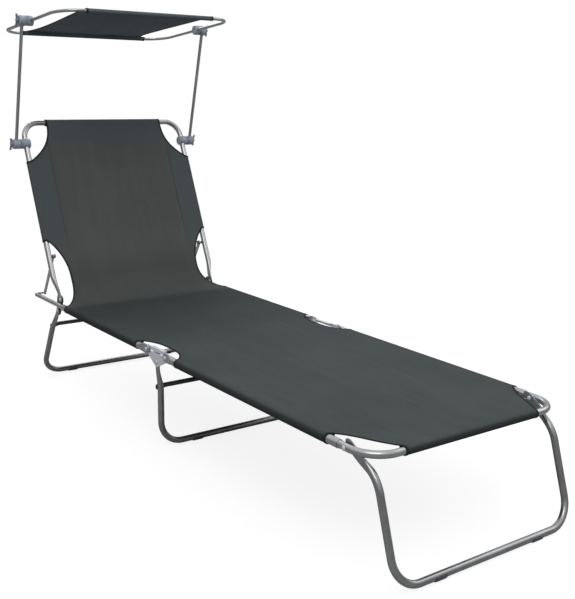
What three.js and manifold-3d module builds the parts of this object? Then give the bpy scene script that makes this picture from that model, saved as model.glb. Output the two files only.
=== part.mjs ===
// A folding sun lounger with a small canopy, as an assembly of separate pieces.
// Millimetres, +Z up. +Y runs from the foot end to the head end, and X across the lounger.
// The origin is on the floor, under the middle of the whole lounger.
import * as THREE from 'three';
import { mergeVertices } from 'three/addons/utils/BufferGeometryUtils.js';
import Module from 'manifold-3d';

const wasm = await Module();
wasm.setup();

// Driving dimensions of the frame
const RAIL_SPACING = 540;
const RAIL_HEIGHT = 252;
const RAIL_RADIUS = 9.5;
const TUBE_RADIUS = 8;
const TAIL_RADIUS = 6.5;
const GAP = 0.3;
const HOLE_CLEARANCE = 0.3;
const CUT_OVERRUN = 2;

// Places along the lounger, measured from the middle of the foot bar
const FOOT_RAIL_END = 93;
const FRONT_PIVOT = 72;
const FOOT_PIN = 755;
const SEAT_PIN = 850;
const HINGE = 1390;

// Folding and leaning
const BACK_ANGLE = 65.3;
const FRONT_LEG_LEAN = 18.4;
const FRONT_NECK_SLOPE = 32;
const FRONT_NECK_LENGTH = 85;
const MID_LEG_LEAN = 1.5;
const REAR_LEG_LEAN = 26.4;
const ARM_LEAN = 12.4;
const CANOPY_TILT = 6.9;

// Pressed (flattened) tube ends, plates, pins and rivets
const BLADE = { thickness: 3, halfWidth: 10, reach: 10, flat: 24, blend: 26 };
const RAIL_BLADE = { thickness: 5, halfWidth: 11.5, reach: 11, flat: 22, blend: 24 };
const PLATE_THICKNESS = 2;
const RIVET = { shank: 3, head: 5.2, rise: 2 };

// Feet of the legs
const PAD = { radius: 10.5, sole: 9.8, length: 32 };

// The sling: cloth thickness, the room around a tube in a sleeve, and how far it sags
const CLOTH = { thickness: 1.2, room: 0.6, deckSag: 5, backSag: 8, canopySag: 3 };

const HALF = RAIL_SPACING / 2;
const SIDES = [
  { name: 'right', sign: -1 },
  { name: 'left', sign: 1 },
];
const TUBE_SIDES = 12;
const BEND_STEPS = 5;
const SMALL_SIDES = 10;

const steel = { color: 0x8b8f94, roughness: 0.35, metalness: 0.75 };
const zinc = { color: 0xa9afbb, roughness: 0.4, metalness: 0.7 };
const darkPlate = { color: 0x4a4e54, roughness: 0.5, metalness: 0.6 };
const cloth = { color: 0x434949, roughness: 0.85, metalness: 0 };
const plastic = { color: 0x3a4048, roughness: 0.6, metalness: 0 };
const clampPlastic = { color: 0x7c8490, roughness: 0.5, metalness: 0.1 };

const lounger = new THREE.Group();
const frame = new THREE.Group();
lounger.add(frame);

function vec(x, y, z) {
  return new THREE.Vector3(x, y, z);
}

function radians(degrees) {
  return THREE.MathUtils.degToRad(degrees);
}

function smooth(value) {
  const t = Math.min(1, Math.max(0, value));
  return t * t * (3 - 2 * t);
}

// Solids and booleans

function bare(geometry) {
  const copy = geometry.clone();
  copy.deleteAttribute('normal');
  copy.deleteAttribute('uv');
  return mergeVertices(copy);
}

function solid(geometry) {
  const merged = bare(geometry);
  return new wasm.Manifold(new wasm.Mesh({
    numProp: 3,
    vertProperties: new Float32Array(merged.attributes.position.array),
    triVerts: new Uint32Array(merged.index.array),
  }));
}

function geometryOf(body) {
  const mesh = body.getMesh();
  const geometry = new THREE.BufferGeometry();
  geometry.setAttribute('position', new THREE.BufferAttribute(mesh.vertProperties, 3));
  geometry.setIndex(new THREE.BufferAttribute(mesh.triVerts, 1));
  return geometry;
}

function join(...geometries) {
  return geometryOf(geometries.map(solid).reduce((whole, next) => whole.add(next)));
}

function cut(geometry, ...tools) {
  return geometryOf(tools.map(solid).reduce((left, tool) => left.subtract(tool), solid(geometry)));
}

function piece(parent, name, geometry, finish) {
  const mesh = new THREE.Mesh(geometry, new THREE.MeshStandardMaterial(finish));
  mesh.name = name;
  parent.add(mesh);
  return mesh;
}

function at(x, y, z, parent = frame) {
  const group = new THREE.Group();
  group.position.set(x, y, z);
  parent.add(group);
  return group;
}

// Shapes drawn in Y and Z and pushed out along X, from x = from to x = to
function plateGeometry(shape, from, to) {
  const low = Math.min(from, to);
  const depth = Math.abs(to - from);
  const geometry = new THREE.ExtrudeGeometry(shape, { depth, bevelEnabled: false, curveSegments: 8 });
  geometry.applyMatrix4(new THREE.Matrix4().set(0, 0, 1, low, 1, 0, 0, 0, 0, 1, 0, 0, 0, 0, 0, 1));
  return geometry;
}

// The radius of a polygon of so many sides that lies wholly outside a circle
function outside(radius, sides = TUBE_SIDES) {
  return radius / Math.cos(Math.PI / sides);
}

function rodAlongX(radius, from, to, y, z, sides = SMALL_SIDES) {
  const geometry = new THREE.CylinderGeometry(radius, radius, Math.abs(to - from), sides);
  geometry.rotateZ(Math.PI / 2);
  geometry.translate((from + to) / 2, y, z);
  return geometry;
}

function rodAlongY(radius, from, to, x, z, sides = TUBE_SIDES) {
  const geometry = new THREE.CylinderGeometry(radius, radius, Math.abs(to - from), sides);
  geometry.translate(x, (from + to) / 2, z);
  return geometry;
}

// A turned piece: its profile is a list of [radius, x], and it turns about the X axis
function turnedAlongX(profile, y, z, sides = SMALL_SIDES) {
  const rising = profile[0][1] < profile.at(-1)[1] ? profile : [...profile].reverse();
  const points = rising.map(([radius, x]) => new THREE.Vector2(radius, x));
  const geometry = new THREE.LatheGeometry(points, sides);
  geometry.rotateZ(-Math.PI / 2);
  geometry.translate(0, y, z);
  return geometry;
}

// A rivet through x = inner to x = outer with a low domed head on both ends
function rivetGeometry(inner, outer, y, z, headShare = 1) {
  const way = Math.sign(outer - inner);
  const a = inner - way * GAP;
  const b = outer + way * GAP;
  const head = RIVET.head * headShare;
  const crownShare = 0.6;
  return turnedAlongX([
    [0, a - way * RIVET.rise],
    [head * crownShare, a - way * RIVET.rise],
    [head, a],
    [RIVET.shank, a],
    [RIVET.shank, b],
    [head, b],
    [head * crownShare, b + way * RIVET.rise],
    [0, b + way * RIVET.rise],
  ], y, z);
}

// Bent and pressed tubes

function bentRoute(corners, bendRadii, closed = false) {
  const stations = [];
  const count = corners.length;
  const add = (place, along) => {
    const before = stations.at(-1);
    const distance = before ? before.distance + before.place.distanceTo(place) : 0;
    stations.push({ place, along, distance });
  };
  const corner = (index) => corners[(index + count) % count];
  const way = (from, to) => corner(to).clone().sub(corner(from)).normalize();
  const bend = (index, radius) => {
    const before = way(index - 1, index);
    const after = way(index, index + 1);
    const turn = before.angleTo(after);
    const inward = after.clone().addScaledVector(before, -before.dot(after)).normalize();
    const start = corners[index].clone().addScaledVector(before, -radius * Math.tan(turn / 2));
    const centre = start.clone().addScaledVector(inward, radius);
    for (let step = 0; step <= BEND_STEPS; step += 1) {
      const angle = (turn * step) / BEND_STEPS;
      const place = centre.clone()
        .addScaledVector(inward, -radius * Math.cos(angle))
        .addScaledVector(before, radius * Math.sin(angle));
      const along = before.clone().multiplyScalar(Math.cos(angle)).addScaledVector(inward, Math.sin(angle));
      add(place, along);
    }
  };
  if (closed) {
    corners.forEach((corner, index) => bend(index, bendRadii[index]));
    return stations;
  }
  add(corners[0], way(0, 1));
  for (let index = 1; index < count - 1; index += 1) bend(index, bendRadii[index - 1]);
  add(corners[count - 1], way(count - 2, count - 1));
  return stations;
}

// The route with more stations at the given distances from its ends
function withStations(route, fromStart, fromEnd) {
  const total = route.at(-1).distance;
  const wanted = [...fromStart, ...fromEnd.map((distance) => total - distance)];
  const extra = wanted.map((distance) => {
    const after = route.findIndex((station) => station.distance >= distance);
    const a = route[after - 1];
    const b = route[after];
    const share = (distance - a.distance) / (b.distance - a.distance);
    return { place: a.place.clone().lerp(b.place, share), along: a.along.clone(), distance };
  });
  return [...route, ...extra].sort((a, b) => a.distance - b.distance);
}

// Rings of equal length joined into one closed surface
function loft(rings, closed = false) {
  const around = rings[0].length;
  const position = rings.flat().flatMap((point) => point.toArray());
  const index = [];
  const quad = (a, b, c, d) => index.push(a, b, c, a, c, d);
  const last = closed ? rings.length : rings.length - 1;
  for (let i = 0; i < last; i += 1) {
    const here = i * around;
    const next = ((i + 1) % rings.length) * around;
    for (let k = 0; k < around; k += 1) {
      const other = (k + 1) % around;
      quad(here + k, here + other, next + other, next + k);
    }
  }
  if (!closed) {
    const end = (rings.length - 1) * around;
    for (let k = 1; k < around - 1; k += 1) {
      index.push(0, k + 1, k);
      index.push(end, end + k, end + k + 1);
    }
  }
  const geometry = new THREE.BufferGeometry();
  geometry.setAttribute('position', new THREE.Float32BufferAttribute(position, 3));
  geometry.setIndex(index);
  return geometry;
}

// A tube along a route. across is its section's first axis at the start, carried along without twist.
function tube(route, across, section, sides = TUBE_SIDES, closed = false) {
  const total = route.at(-1).distance;
  let first = across.clone();
  const rings = route.map((station) => {
    first = first.clone().addScaledVector(station.along, -first.dot(station.along)).normalize();
    const second = station.along.clone().cross(first);
    const { shift, thick, wide, square } = section(station.distance, total - station.distance);
    return Array.from({ length: sides }, (_, k) => {
      const angle = (2 * Math.PI * (k + 1 / 2)) / sides;
      const power = (value) => Math.sign(value) * Math.abs(value) ** (1 - square);
      return station.place.clone()
        .addScaledVector(first, shift + thick * power(Math.cos(angle)))
        .addScaledVector(second, wide * power(Math.sin(angle)));
    });
  });
  return loft(rings, closed);
}

function round(radius) {
  return () => ({ shift: 0, thick: radius, wide: radius, square: 0 });
}

// A tube's section near an end that is pressed to a blade with a round tip
function pressedSection(radius, blade, shift, atStart = true, atEnd = true) {
  const squareShare = 0.55;
  const tipShare = 0.3;
  return (fromStart, fromEnd) => {
    const distance = Math.min(atStart ? fromStart : Infinity, atEnd ? fromEnd : Infinity);
    const pressed = 1 - smooth((distance - blade.flat) / blade.blend);
    const mix = (a, b) => a + (b - a) * pressed;
    const inTip = Math.min(1, distance / blade.reach);
    const tip = Math.max(tipShare, Math.sqrt(1 - (1 - inTip) ** 2));
    return {
      shift: mix(0, shift),
      thick: mix(radius, blade.thickness / 2),
      wide: mix(radius, blade.halfWidth) * tip,
      square: squareShare * pressed,
    };
  };
}

function bladeStations(blade) {
  const tipShares = [0.12, 0.3, 0.6, 1];
  const blendShares = [0, 0.25, 0.5, 0.75, 1];
  return [
    ...tipShares.map((share) => share * blade.reach),
    ...blendShares.map((share) => blade.flat + share * blade.blend),
  ];
}

function pressedTube(corners, radii, across, radius, blade, shift) {
  const stations = bladeStations(blade);
  const route = withStations(bentRoute(corners, radii), stations, stations);
  return tube(route, across, pressedSection(radius, blade, shift));
}

// The hull of circles [y, z, radius], as a shape
function hullOfCircles(circles, steps = 24) {
  const points = circles.flatMap(([y, z, radius]) => Array.from({ length: steps }, (_, k) => {
    const angle = (2 * Math.PI * k) / steps;
    return new THREE.Vector2(y + radius * Math.cos(angle), z + radius * Math.sin(angle));
  }));
  points.sort((a, b) => a.x - b.x || a.y - b.y);
  const turn = (a, b, c) => (b.x - a.x) * (c.y - a.y) - (b.y - a.y) * (c.x - a.x);
  const half = (list) => list.reduce((chain, point) => {
    while (chain.length > 1 && turn(chain.at(-2), chain.at(-1), point) <= 0) chain.pop();
    return [...chain, point];
  }, []);
  const lower = half(points);
  const upper = half([...points].reverse());
  return new THREE.Shape([...lower.slice(0, -1), ...upper.slice(0, -1)]);
}

function circleHole(shape, y, z, radius) {
  const hole = new THREE.Path();
  hole.absarc(y, z, radius, 0, 2 * Math.PI, true);
  shape.holes.push(hole);
}

const PIN_HOLE = RIVET.shank + HOLE_CLEARANCE;

// How far a leg's tube lies from its pressed ends, across the lounger
const LEG_OFFSET = { midLeg: 7.4, frontLeg: 5.7, rearLeg: 6.3 };

// Where the plates, blades and tubes lie across the lounger, as distances from the middle
const RAIL_FACE = HALF - RAIL_BLADE.thickness / 2;
const MID_PLATE_OUTER = RAIL_FACE - GAP;
const MID_PLATE_INNER = MID_PLATE_OUTER - PLATE_THICKNESS;
const MID_BLADE = MID_PLATE_INNER - GAP - BLADE.thickness / 2;
const MID_LEG_X = MID_BLADE - LEG_OFFSET.midLeg;
const BEND_INNER = HALF - TUBE_RADIUS;
const FRONT_BLADE_ROOM = 1.5;
const FRONT_BLADE = BEND_INNER - GAP - FRONT_BLADE_ROOM - BLADE.thickness / 2;
const FRONT_LEG_X = FRONT_BLADE - LEG_OFFSET.frontLeg;
const TAIL_INNER = HALF - TAIL_RADIUS;
const HINGE_BLADE = TAIL_INNER - GAP - BLADE.thickness / 2;
const HINGE_PLATE_OUTER = HINGE_BLADE - BLADE.thickness / 2 - GAP;
const HINGE_PLATE_INNER = HINGE_PLATE_OUTER - PLATE_THICKNESS;
const REAR_LEG_X = HINGE_BLADE + LEG_OFFSET.rearLeg;

// Foot section

const FOOT_BEND_RADIUS = 64;
const BEND_PLUG = 57;
const BORE_DEPTH = 60;

function footRail(sign) {
  const x = sign * HALF;
  const corners = [vec(x, FOOT_PIN + RAIL_BLADE.reach, RAIL_HEIGHT), vec(x, FOOT_RAIL_END, RAIL_HEIGHT)];
  const route = withStations(bentRoute(corners, []), bladeStations(RAIL_BLADE), []);
  const bar = tube(route, vec(1, 0, 0), pressedSection(RAIL_RADIUS, RAIL_BLADE, 0, true, false));
  const mouth = FOOT_RAIL_END - CUT_OVERRUN;
  const bore = rodAlongY(outside(TUBE_RADIUS + GAP), mouth, FOOT_RAIL_END + BORE_DEPTH, x, RAIL_HEIGHT);
  const hole = rodAlongX(PIN_HOLE, x - RAIL_RADIUS, x + RAIL_RADIUS, FOOT_PIN, RAIL_HEIGHT);
  return cut(bar, bore, hole);
}

function footBend() {
  const end = FOOT_RAIL_END + BEND_PLUG;
  const corners = [
    vec(-HALF, end, RAIL_HEIGHT), vec(-HALF, 0, RAIL_HEIGHT),
    vec(HALF, 0, RAIL_HEIGHT), vec(HALF, end, RAIL_HEIGHT),
  ];
  const route = bentRoute(corners, [FOOT_BEND_RADIUS, FOOT_BEND_RADIUS]);
  const bar = tube(route, vec(1, 0, 0), round(TUBE_RADIUS));
  const holes = SIDES.map(({ sign }) => rodAlongX(
    PIN_HOLE, sign * (HALF - RAIL_RADIUS), sign * (HALF + RAIL_RADIUS), FRONT_PIVOT, RAIL_HEIGHT));
  return cut(bar, ...holes);
}

// Legs

const LEG_BEND_RADIUS = 60;
const NECK_BEND_RADIUS = 50;
const MID_PIVOT_FROM_PIN = { along: 51, down: 24 };
const REAR_PIVOT_FROM_HINGE = { past: 20, below: 22 };
const MID_PIVOT = { y: FOOT_PIN + MID_PIVOT_FROM_PIN.along, z: RAIL_HEIGHT - MID_PIVOT_FROM_PIN.down };
const REAR_PIVOT = { y: HINGE + REAR_PIVOT_FROM_HINGE.past, z: RAIL_HEIGHT - REAR_PIVOT_FROM_HINGE.below };

// A U-shaped leg from its side profile, a list of [y, z] from the tip down to the base
function legGeometry(profile, legX, bladeShift, radii, pivot) {
  const corners = [
    ...profile.map(([y, z]) => vec(-legX, y, z)),
    ...[...profile].reverse().map(([y, z]) => vec(legX, y, z)),
  ];
  const bends = [...radii, ...[...radii].reverse()];
  const leg = pressedTube(corners, bends, vec(1, 0, 0), TUBE_RADIUS, BLADE, bladeShift);
  const holes = SIDES.map(({ sign }) => rodAlongX(
    PIN_HOLE, sign * (legX - TUBE_RADIUS), sign * (legX + 2 * TUBE_RADIUS), pivot.y, pivot.z));
  return cut(leg, ...holes);
}

function frontLegProfile() {
  const slope = Math.tan(radians(FRONT_LEG_LEAN));
  const neck = radians(FRONT_NECK_SLOPE);
  const neckLength = FRONT_NECK_LENGTH;
  const knee = [FRONT_PIVOT - neckLength * Math.cos(neck), RAIL_HEIGHT - neckLength * Math.sin(neck)];
  const tip = [FRONT_PIVOT + BLADE.reach * Math.cos(neck), RAIL_HEIGHT + BLADE.reach * Math.sin(neck)];
  const base = [knee[0] - (knee[1] - PAD.sole) * slope, PAD.sole];
  return [tip, knee, base];
}

// A straight leg profile that leans by an angle from its pivot down, towards the head where positive
function straightLegProfile(pivot, lean) {
  const slope = Math.tan(radians(lean));
  const rise = BLADE.reach * Math.cos(radians(lean));
  return [
    [pivot.y - rise * slope, pivot.z + rise],
    [pivot.y + (pivot.z - PAD.sole) * slope, PAD.sole],
  ];
}

function padGeometry(x, baseY) {
  const flatHalf = Math.sqrt(PAD.radius ** 2 - PAD.sole ** 2);
  const cornerAngle = Math.atan2(-PAD.sole, flatHalf);
  const shape = new THREE.Shape();
  shape.absarc(0, 0, PAD.radius, cornerAngle, Math.PI - cornerAngle, false);
  shape.closePath();
  circleHole(shape, 0, 0, TUBE_RADIUS + GAP);
  const geometry = plateGeometry(shape, x - PAD.length / 2, x + PAD.length / 2);
  geometry.translate(0, baseY, PAD.sole);
  return geometry;
}

const CROSSBAR = { radius: 6, overhang: 9 };
const CROSSBAR_BLADE = { thickness: 3, halfWidth: 11, reach: 8, flat: 20, blend: 16 };

// A crossbar behind a leg, with pressed ends that lie on the leg's tubes. It lies in the leg's own frame:
// Z along the leg and Y square to it, from the middle of the leg.
function crossbarGeometry(legX) {
  const back = TUBE_RADIUS + GAP + CROSSBAR.radius;
  const reach = legX + CROSSBAR.overhang;
  const shift = CROSSBAR_BLADE.thickness / 2 - CROSSBAR.radius;
  const bar = pressedTube([vec(-reach, back, 0), vec(reach, back, 0)], [], vec(0, 1, 0), CROSSBAR.radius,
    CROSSBAR_BLADE, shift);
  const face = TUBE_RADIUS + GAP + CROSSBAR_BLADE.thickness;
  const headHeight = RIVET.rise + CROSSBAR_BLADE.thickness / 2;
  const heads = SIDES.map(({ sign }) => {
    const head = new THREE.CylinderGeometry(RIVET.shank, RIVET.head, headHeight, SMALL_SIDES);
    head.translate(sign * legX, face + RIVET.rise - headHeight / 2, 0);
    return head;
  });
  return join(bar, ...heads);
}

function addCrossbar(name, legX, pivot, lean, down) {
  const angle = radians(lean);
  const group = at(0, pivot.y + down * Math.sin(angle), pivot.z - down * Math.cos(angle));
  group.rotation.x = angle;
  piece(group, name, crossbarGeometry(legX), steel);
}

// Middle hinge

const MID_PLATE = {
  endRadius: 11,
  lobeRadius: 13,
  slotHeight: 3.5,
  slotEnd: 14,
  flangeWidth: 10,
  flangeInset: 16,
};

function midPlate(sign) {
  const shape = hullOfCircles([
    [SEAT_PIN, RAIL_HEIGHT, MID_PLATE.endRadius],
    [FOOT_PIN, RAIL_HEIGHT, MID_PLATE.endRadius],
    [MID_PIVOT.y, MID_PIVOT.z, MID_PLATE.lobeRadius],
  ]);
  circleHole(shape, SEAT_PIN, RAIL_HEIGHT, PIN_HOLE);
  circleHole(shape, FOOT_PIN, RAIL_HEIGHT, PIN_HOLE);
  circleHole(shape, MID_PIVOT.y, MID_PIVOT.z, PIN_HOLE);
  const slot = new THREE.Path();
  const radius = MID_PLATE.slotHeight / 2;
  slot.absarc(FOOT_PIN + MID_PLATE.slotEnd, RAIL_HEIGHT, radius, Math.PI * 1.5, Math.PI / 2, true);
  slot.absarc(SEAT_PIN - MID_PLATE.slotEnd, RAIL_HEIGHT, radius, Math.PI / 2, -Math.PI / 2, true);
  slot.closePath();
  shape.holes.push(slot);
  const web = plateGeometry(shape, sign * MID_PLATE_OUTER, sign * MID_PLATE_INNER);
  const top = RAIL_HEIGHT + MID_PLATE.endRadius;
  const length = SEAT_PIN - FOOT_PIN - 2 * MID_PLATE.flangeInset;
  const width = MID_PLATE.flangeWidth;
  const flange = new THREE.BoxGeometry(width, length, PLATE_THICKNESS);
  const flangeX = sign * (MID_PLATE_OUTER - width / 2);
  flange.translate(flangeX, (SEAT_PIN + FOOT_PIN) / 2, top - PLATE_THICKNESS / 2);
  return join(web, flange);
}

function midPin(sign, y) {
  return rivetGeometry(sign * MID_PLATE_INNER, sign * (HALF + RAIL_BLADE.thickness / 2), y, RAIL_HEIGHT);
}

// Seat section

const TAIL = { pastHinge: 158, plugged: 46, bore: 50, railBeforeHinge: 38 };
const SEAT_RAIL_TIP = SEAT_PIN - RAIL_BLADE.reach;
const SEAT_RAIL_END = HINGE - TAIL.railBeforeHinge;
const TAIL_START = SEAT_RAIL_END - TAIL.plugged;
const TAIL_END = HINGE + TAIL.pastHinge;
const HINGE_ROOM = 0.5;
const PROP_NOTCH = { radius: 3.4, depth: 1.5, pitch: 11, count: 4 };
const HINGE_RISE = TAIL_RADIUS + TUBE_RADIUS + HINGE_ROOM;
const HINGE_HEIGHT = RAIL_HEIGHT + HINGE_RISE;

// The prop arms: their pivot up the back and their length, and the pin that stands on the tail
const PROP = {
  up: 134,
  behind: 6,
  length: 142.7,
  halfWidth: 6,
  thickness: 3,
  pinRadius: 3,
  pinReach: 20,
  collar: 4,
};
const PROP_PIN_HEIGHT = RAIL_HEIGHT + TAIL_RADIUS + GAP + PROP.pinRadius;
const PROP_PIVOT = {
  y: HINGE + PROP.up * Math.cos(radians(BACK_ANGLE)) + PROP.behind * Math.sin(radians(BACK_ANGLE)),
  z: HINGE_HEIGHT + PROP.up * Math.sin(radians(BACK_ANGLE)) - PROP.behind * Math.cos(radians(BACK_ANGLE)),
};
const PROP_SLOPE = Math.asin((PROP_PIVOT.z - PROP_PIN_HEIGHT) / PROP.length);
const PROP_FOOT = PROP_PIVOT.y + PROP.length * Math.cos(PROP_SLOPE);

function seatRail(sign) {
  const x = sign * HALF;
  const corners = [vec(x, SEAT_RAIL_TIP, RAIL_HEIGHT), vec(x, SEAT_RAIL_END, RAIL_HEIGHT)];
  const route = withStations(bentRoute(corners, []), bladeStations(RAIL_BLADE), []);
  const bar = tube(route, vec(1, 0, 0), pressedSection(RAIL_RADIUS, RAIL_BLADE, 0, true, false));
  const hole = rodAlongX(PIN_HOLE, x - RAIL_RADIUS, x + RAIL_RADIUS, SEAT_PIN, RAIL_HEIGHT);
  const mouth = SEAT_RAIL_END + CUT_OVERRUN;
  const hollow = rodAlongY(outside(TAIL_RADIUS + GAP), SEAT_RAIL_END - TAIL.bore, mouth, x, RAIL_HEIGHT);
  return cut(bar, hole, hollow);
}

// The thinner tube plugged into the back of a seat rail, with the notches for the prop arms on top
function tailTube(sign) {
  const x = sign * HALF;
  const bar = rodAlongY(TAIL_RADIUS, TAIL_START, TAIL_END, x, RAIL_HEIGHT);
  const height = RAIL_HEIGHT + TAIL_RADIUS - PROP_NOTCH.depth + PROP_NOTCH.radius;
  const first = PROP_FOOT + (2 - PROP_NOTCH.count) * PROP_NOTCH.pitch;
  const notches = Array.from({ length: PROP_NOTCH.count }, (_, k) => rodAlongX(
    PROP_NOTCH.radius, x - RAIL_RADIUS, x + RAIL_RADIUS, first + (k - 1) * PROP_NOTCH.pitch, height));
  return cut(bar, ...notches);
}

const HINGE_PLATE = { radius: 13, lowRadius: 14, boss: 5, bossBack: 15, headRise: 1 };

function hingePlate(sign) {
  const rearY = HINGE + HINGE_PLATE.bossBack;
  const shape = hullOfCircles([
    [HINGE, HINGE_HEIGHT, HINGE_PLATE.radius],
    [rearY, HINGE_HEIGHT, HINGE_PLATE.radius],
    [REAR_PIVOT.y, REAR_PIVOT.z, HINGE_PLATE.lowRadius],
  ]);
  circleHole(shape, HINGE, HINGE_HEIGHT, PIN_HOLE);
  circleHole(shape, REAR_PIVOT.y, REAR_PIVOT.z, PIN_HOLE);
  const plate = plateGeometry(shape, sign * HINGE_PLATE_OUTER, sign * HINGE_PLATE_INNER);
  const depth = PLATE_THICKNESS / 2;
  const inPlate = sign * (HINGE_PLATE_INNER + depth);
  const headFace = sign * (HINGE_PLATE_INNER - HINGE_PLATE.headRise);
  const boss = rodAlongX(HINGE_PLATE.boss, inPlate, sign * (TAIL_INNER - GAP), rearY, RAIL_HEIGHT);
  const head = rodAlongX(RIVET.head, headFace, inPlate, rearY, RAIL_HEIGHT);
  return join(plate, boss, head);
}

// The sling. Its half width along the deck and along the back, with the cut-outs that bare the frame.

const BACK_LENGTH = 551;
const EDGE_INSET = { footBar: 80, midCut: 34, creaseCut: 48, topBar: 73 };
const EDGE_RUN = {
  footCorner: 125,
  beforePins: 56,
  afterPins: 43,
  beforeHinge: 65,
  creaseBefore: 12,
  backCut: 178,
  topCorner: 123,
};
const DECK_EDGE = {
  cornerEnd: EDGE_RUN.footCorner,
  midStart: FOOT_PIN - EDGE_RUN.beforePins,
  midEnd: SEAT_PIN + EDGE_RUN.afterPins,
  rearStart: HINGE - EDGE_RUN.beforeHinge,
  crease: HINGE - EDGE_RUN.creaseBefore,
};
const FOOT_BAR_HALF = HALF - EDGE_INSET.footBar;
const TOP_BAR_HALF = HALF - EDGE_INSET.topBar;
const BACK_EDGE = { cutEnd: EDGE_RUN.backCut, cornerStart: BACK_LENGTH - EDGE_RUN.topCorner };
const BACK_BEND_RADIUS = 50;
const cornerShares = { tab: 0.34, tabPower: 6, sweepPower: 1.6 };
const powerShares = { midShape: 3, rearShape: 1.6, lowShape: 6, topShape: 2.7 };

function deckEdge(y) {
  const edge = DECK_EDGE;
  if (y < edge.cornerEnd) {
    const u = 1 - Math.max(0, y) / edge.cornerEnd;
    const share = cornerShares.tab * (1 - (1 - u) ** cornerShares.tabPower)
      + (1 - cornerShares.tab) * u ** cornerShares.sweepPower;
    return HALF - EDGE_INSET.footBar * share;
  }
  if (y > edge.midStart && y < edge.midEnd) {
    const middle = (edge.midStart + edge.midEnd) / 2;
    const w = Math.abs(y - middle) / (edge.midEnd - middle);
    return HALF - EDGE_INSET.midCut * (1 - w ** powerShares.midShape);
  }
  if (y > edge.rearStart) {
    const u = Math.min(1, (y - edge.rearStart) / (edge.crease - edge.rearStart));
    return HALF - EDGE_INSET.creaseCut * (1 - (1 - u) ** powerShares.rearShape);
  }
  return HALF;
}

function backEdge(s) {
  const edge = BACK_EDGE;
  if (s < edge.cutEnd) {
    const v = 1 - Math.max(0, s) / edge.cutEnd;
    return HALF - EDGE_INSET.creaseCut * (1 - (1 - v) ** powerShares.lowShape);
  }
  if (s > edge.cornerStart) {
    const u = Math.min(1, (s - edge.cornerStart) / (BACK_LENGTH - edge.cornerStart));
    return HALF - EDGE_INSET.topBar * (1 - (1 - u) ** powerShares.topShape);
  }
  return HALF;
}

const PANEL_COLUMNS = 10;

// A thin panel over rows: each row gives its half width and a function of x for its lower face's place
function panelGeometry(rows, lift, thickness, columns = PANEL_COLUMNS) {
  const rings = rows.map(({ half, place }) => {
    const lower = Array.from({ length: columns + 1 }, (_, k) => place(half - (2 * half * k) / columns));
    const upper = [...lower].reverse().map((point) => point.clone().addScaledVector(lift, thickness));
    return [...lower, ...upper];
  });
  return loft(rings);
}

// A sling panel's end caps are flat strips, so they are joined pair by pair instead of as a fan
function panelSolid(rows, lift, thickness, columns = PANEL_COLUMNS) {
  const geometry = panelGeometry(rows, lift, thickness, columns);
  const around = 2 * (columns + 1);
  const capTriangles = 2 * (around - 2) * 3;
  const sides = Array.from(geometry.index.array).slice(0, -capTriangles);
  const strip = (base, flip) => {
    for (let k = 0; k < columns; k += 1) {
      const [a, b, c, d] = [k, k + 1, around - 2 - k, around - 1 - k].map((i) => base + i);
      if (flip) sides.push(a, c, b, a, d, c);
      else sides.push(a, b, c, a, c, d);
    }
  };
  strip(0, true);
  strip((rows.length - 1) * around, false);
  geometry.setIndex(sides);
  return geometry;
}

// A sleeve round a straight tube that runs along Y, and one along X
function sleeve(radius, from, to, make) {
  const inner = outside(radius + CLOTH.room);
  const outer = inner + CLOTH.thickness;
  const shell = make(outer, from, to);
  const hollow = make(inner, from - CUT_OVERRUN, to + CUT_OVERRUN);
  return cut(shell, hollow);
}

function alongY(x, z) {
  return (radius, from, to) => rodAlongY(radius, from, to, x, z);
}

function alongX(y, z) {
  return (radius, from, to) => rodAlongX(radius, from, to, y, z, TUBE_SIDES);
}

function steps(from, to, count) {
  return Array.from({ length: count + 1 }, (_, k) => from + ((to - from) * k) / count);
}

const DECK_LIFT = RAIL_RADIUS + CLOTH.room;
const BAR_LIFT = TUBE_RADIUS + CLOTH.room;
const FOOT_EASE = 60;

function deckRow(y) {
  const half = deckEdge(y);
  const drop = (DECK_LIFT - BAR_LIFT) * (1 - smooth(y / FOOT_EASE));
  const sag = CLOTH.deckSag * smooth(y / FOOT_EASE);
  const place = (x) => vec(x, y, RAIL_HEIGHT + DECK_LIFT - drop - sag * (1 - (x / HALF) ** 2));
  return { half, place };
}

function footFabric(end) {
  const { cornerEnd, midStart } = DECK_EDGE;
  const rows = [
    ...steps(0, cornerEnd, 9), ...steps(cornerEnd, midStart, 4).slice(1), ...steps(midStart, end, 4).slice(1),
  ];
  const panel = panelSolid(rows.map(deckRow), vec(0, 0, 1), CLOTH.thickness);
  const onRail = (sign) => sleeve(RAIL_RADIUS, cornerEnd, midStart, alongY(sign * HALF, RAIL_HEIGHT));
  const sleeves = SIDES.map(({ sign }) => onRail(sign));
  const bar = sleeve(TUBE_RADIUS, -FOOT_BAR_HALF, FOOT_BAR_HALF, alongX(0, RAIL_HEIGHT));
  return join(panel, ...sleeves, bar);
}

function midFabric(from, to) {
  return panelSolid(steps(from, to, 5).map(deckRow), vec(0, 0, 1), CLOTH.thickness);
}

function seatFabric(start, end) {
  const { midEnd, rearStart } = DECK_EDGE;
  const rows = [
    ...steps(start, midEnd, 3), ...steps(midEnd, rearStart, 4).slice(1), ...steps(rearStart, end, 4).slice(1),
  ];
  const panel = panelSolid(rows.map(deckRow), vec(0, 0, 1), CLOTH.thickness);
  const onRail = (sign) => sleeve(RAIL_RADIUS, midEnd, rearStart, alongY(sign * HALF, RAIL_HEIGHT));
  const sleeves = SIDES.map(({ sign }) => onRail(sign));
  return join(panel, ...sleeves);
}

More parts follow.
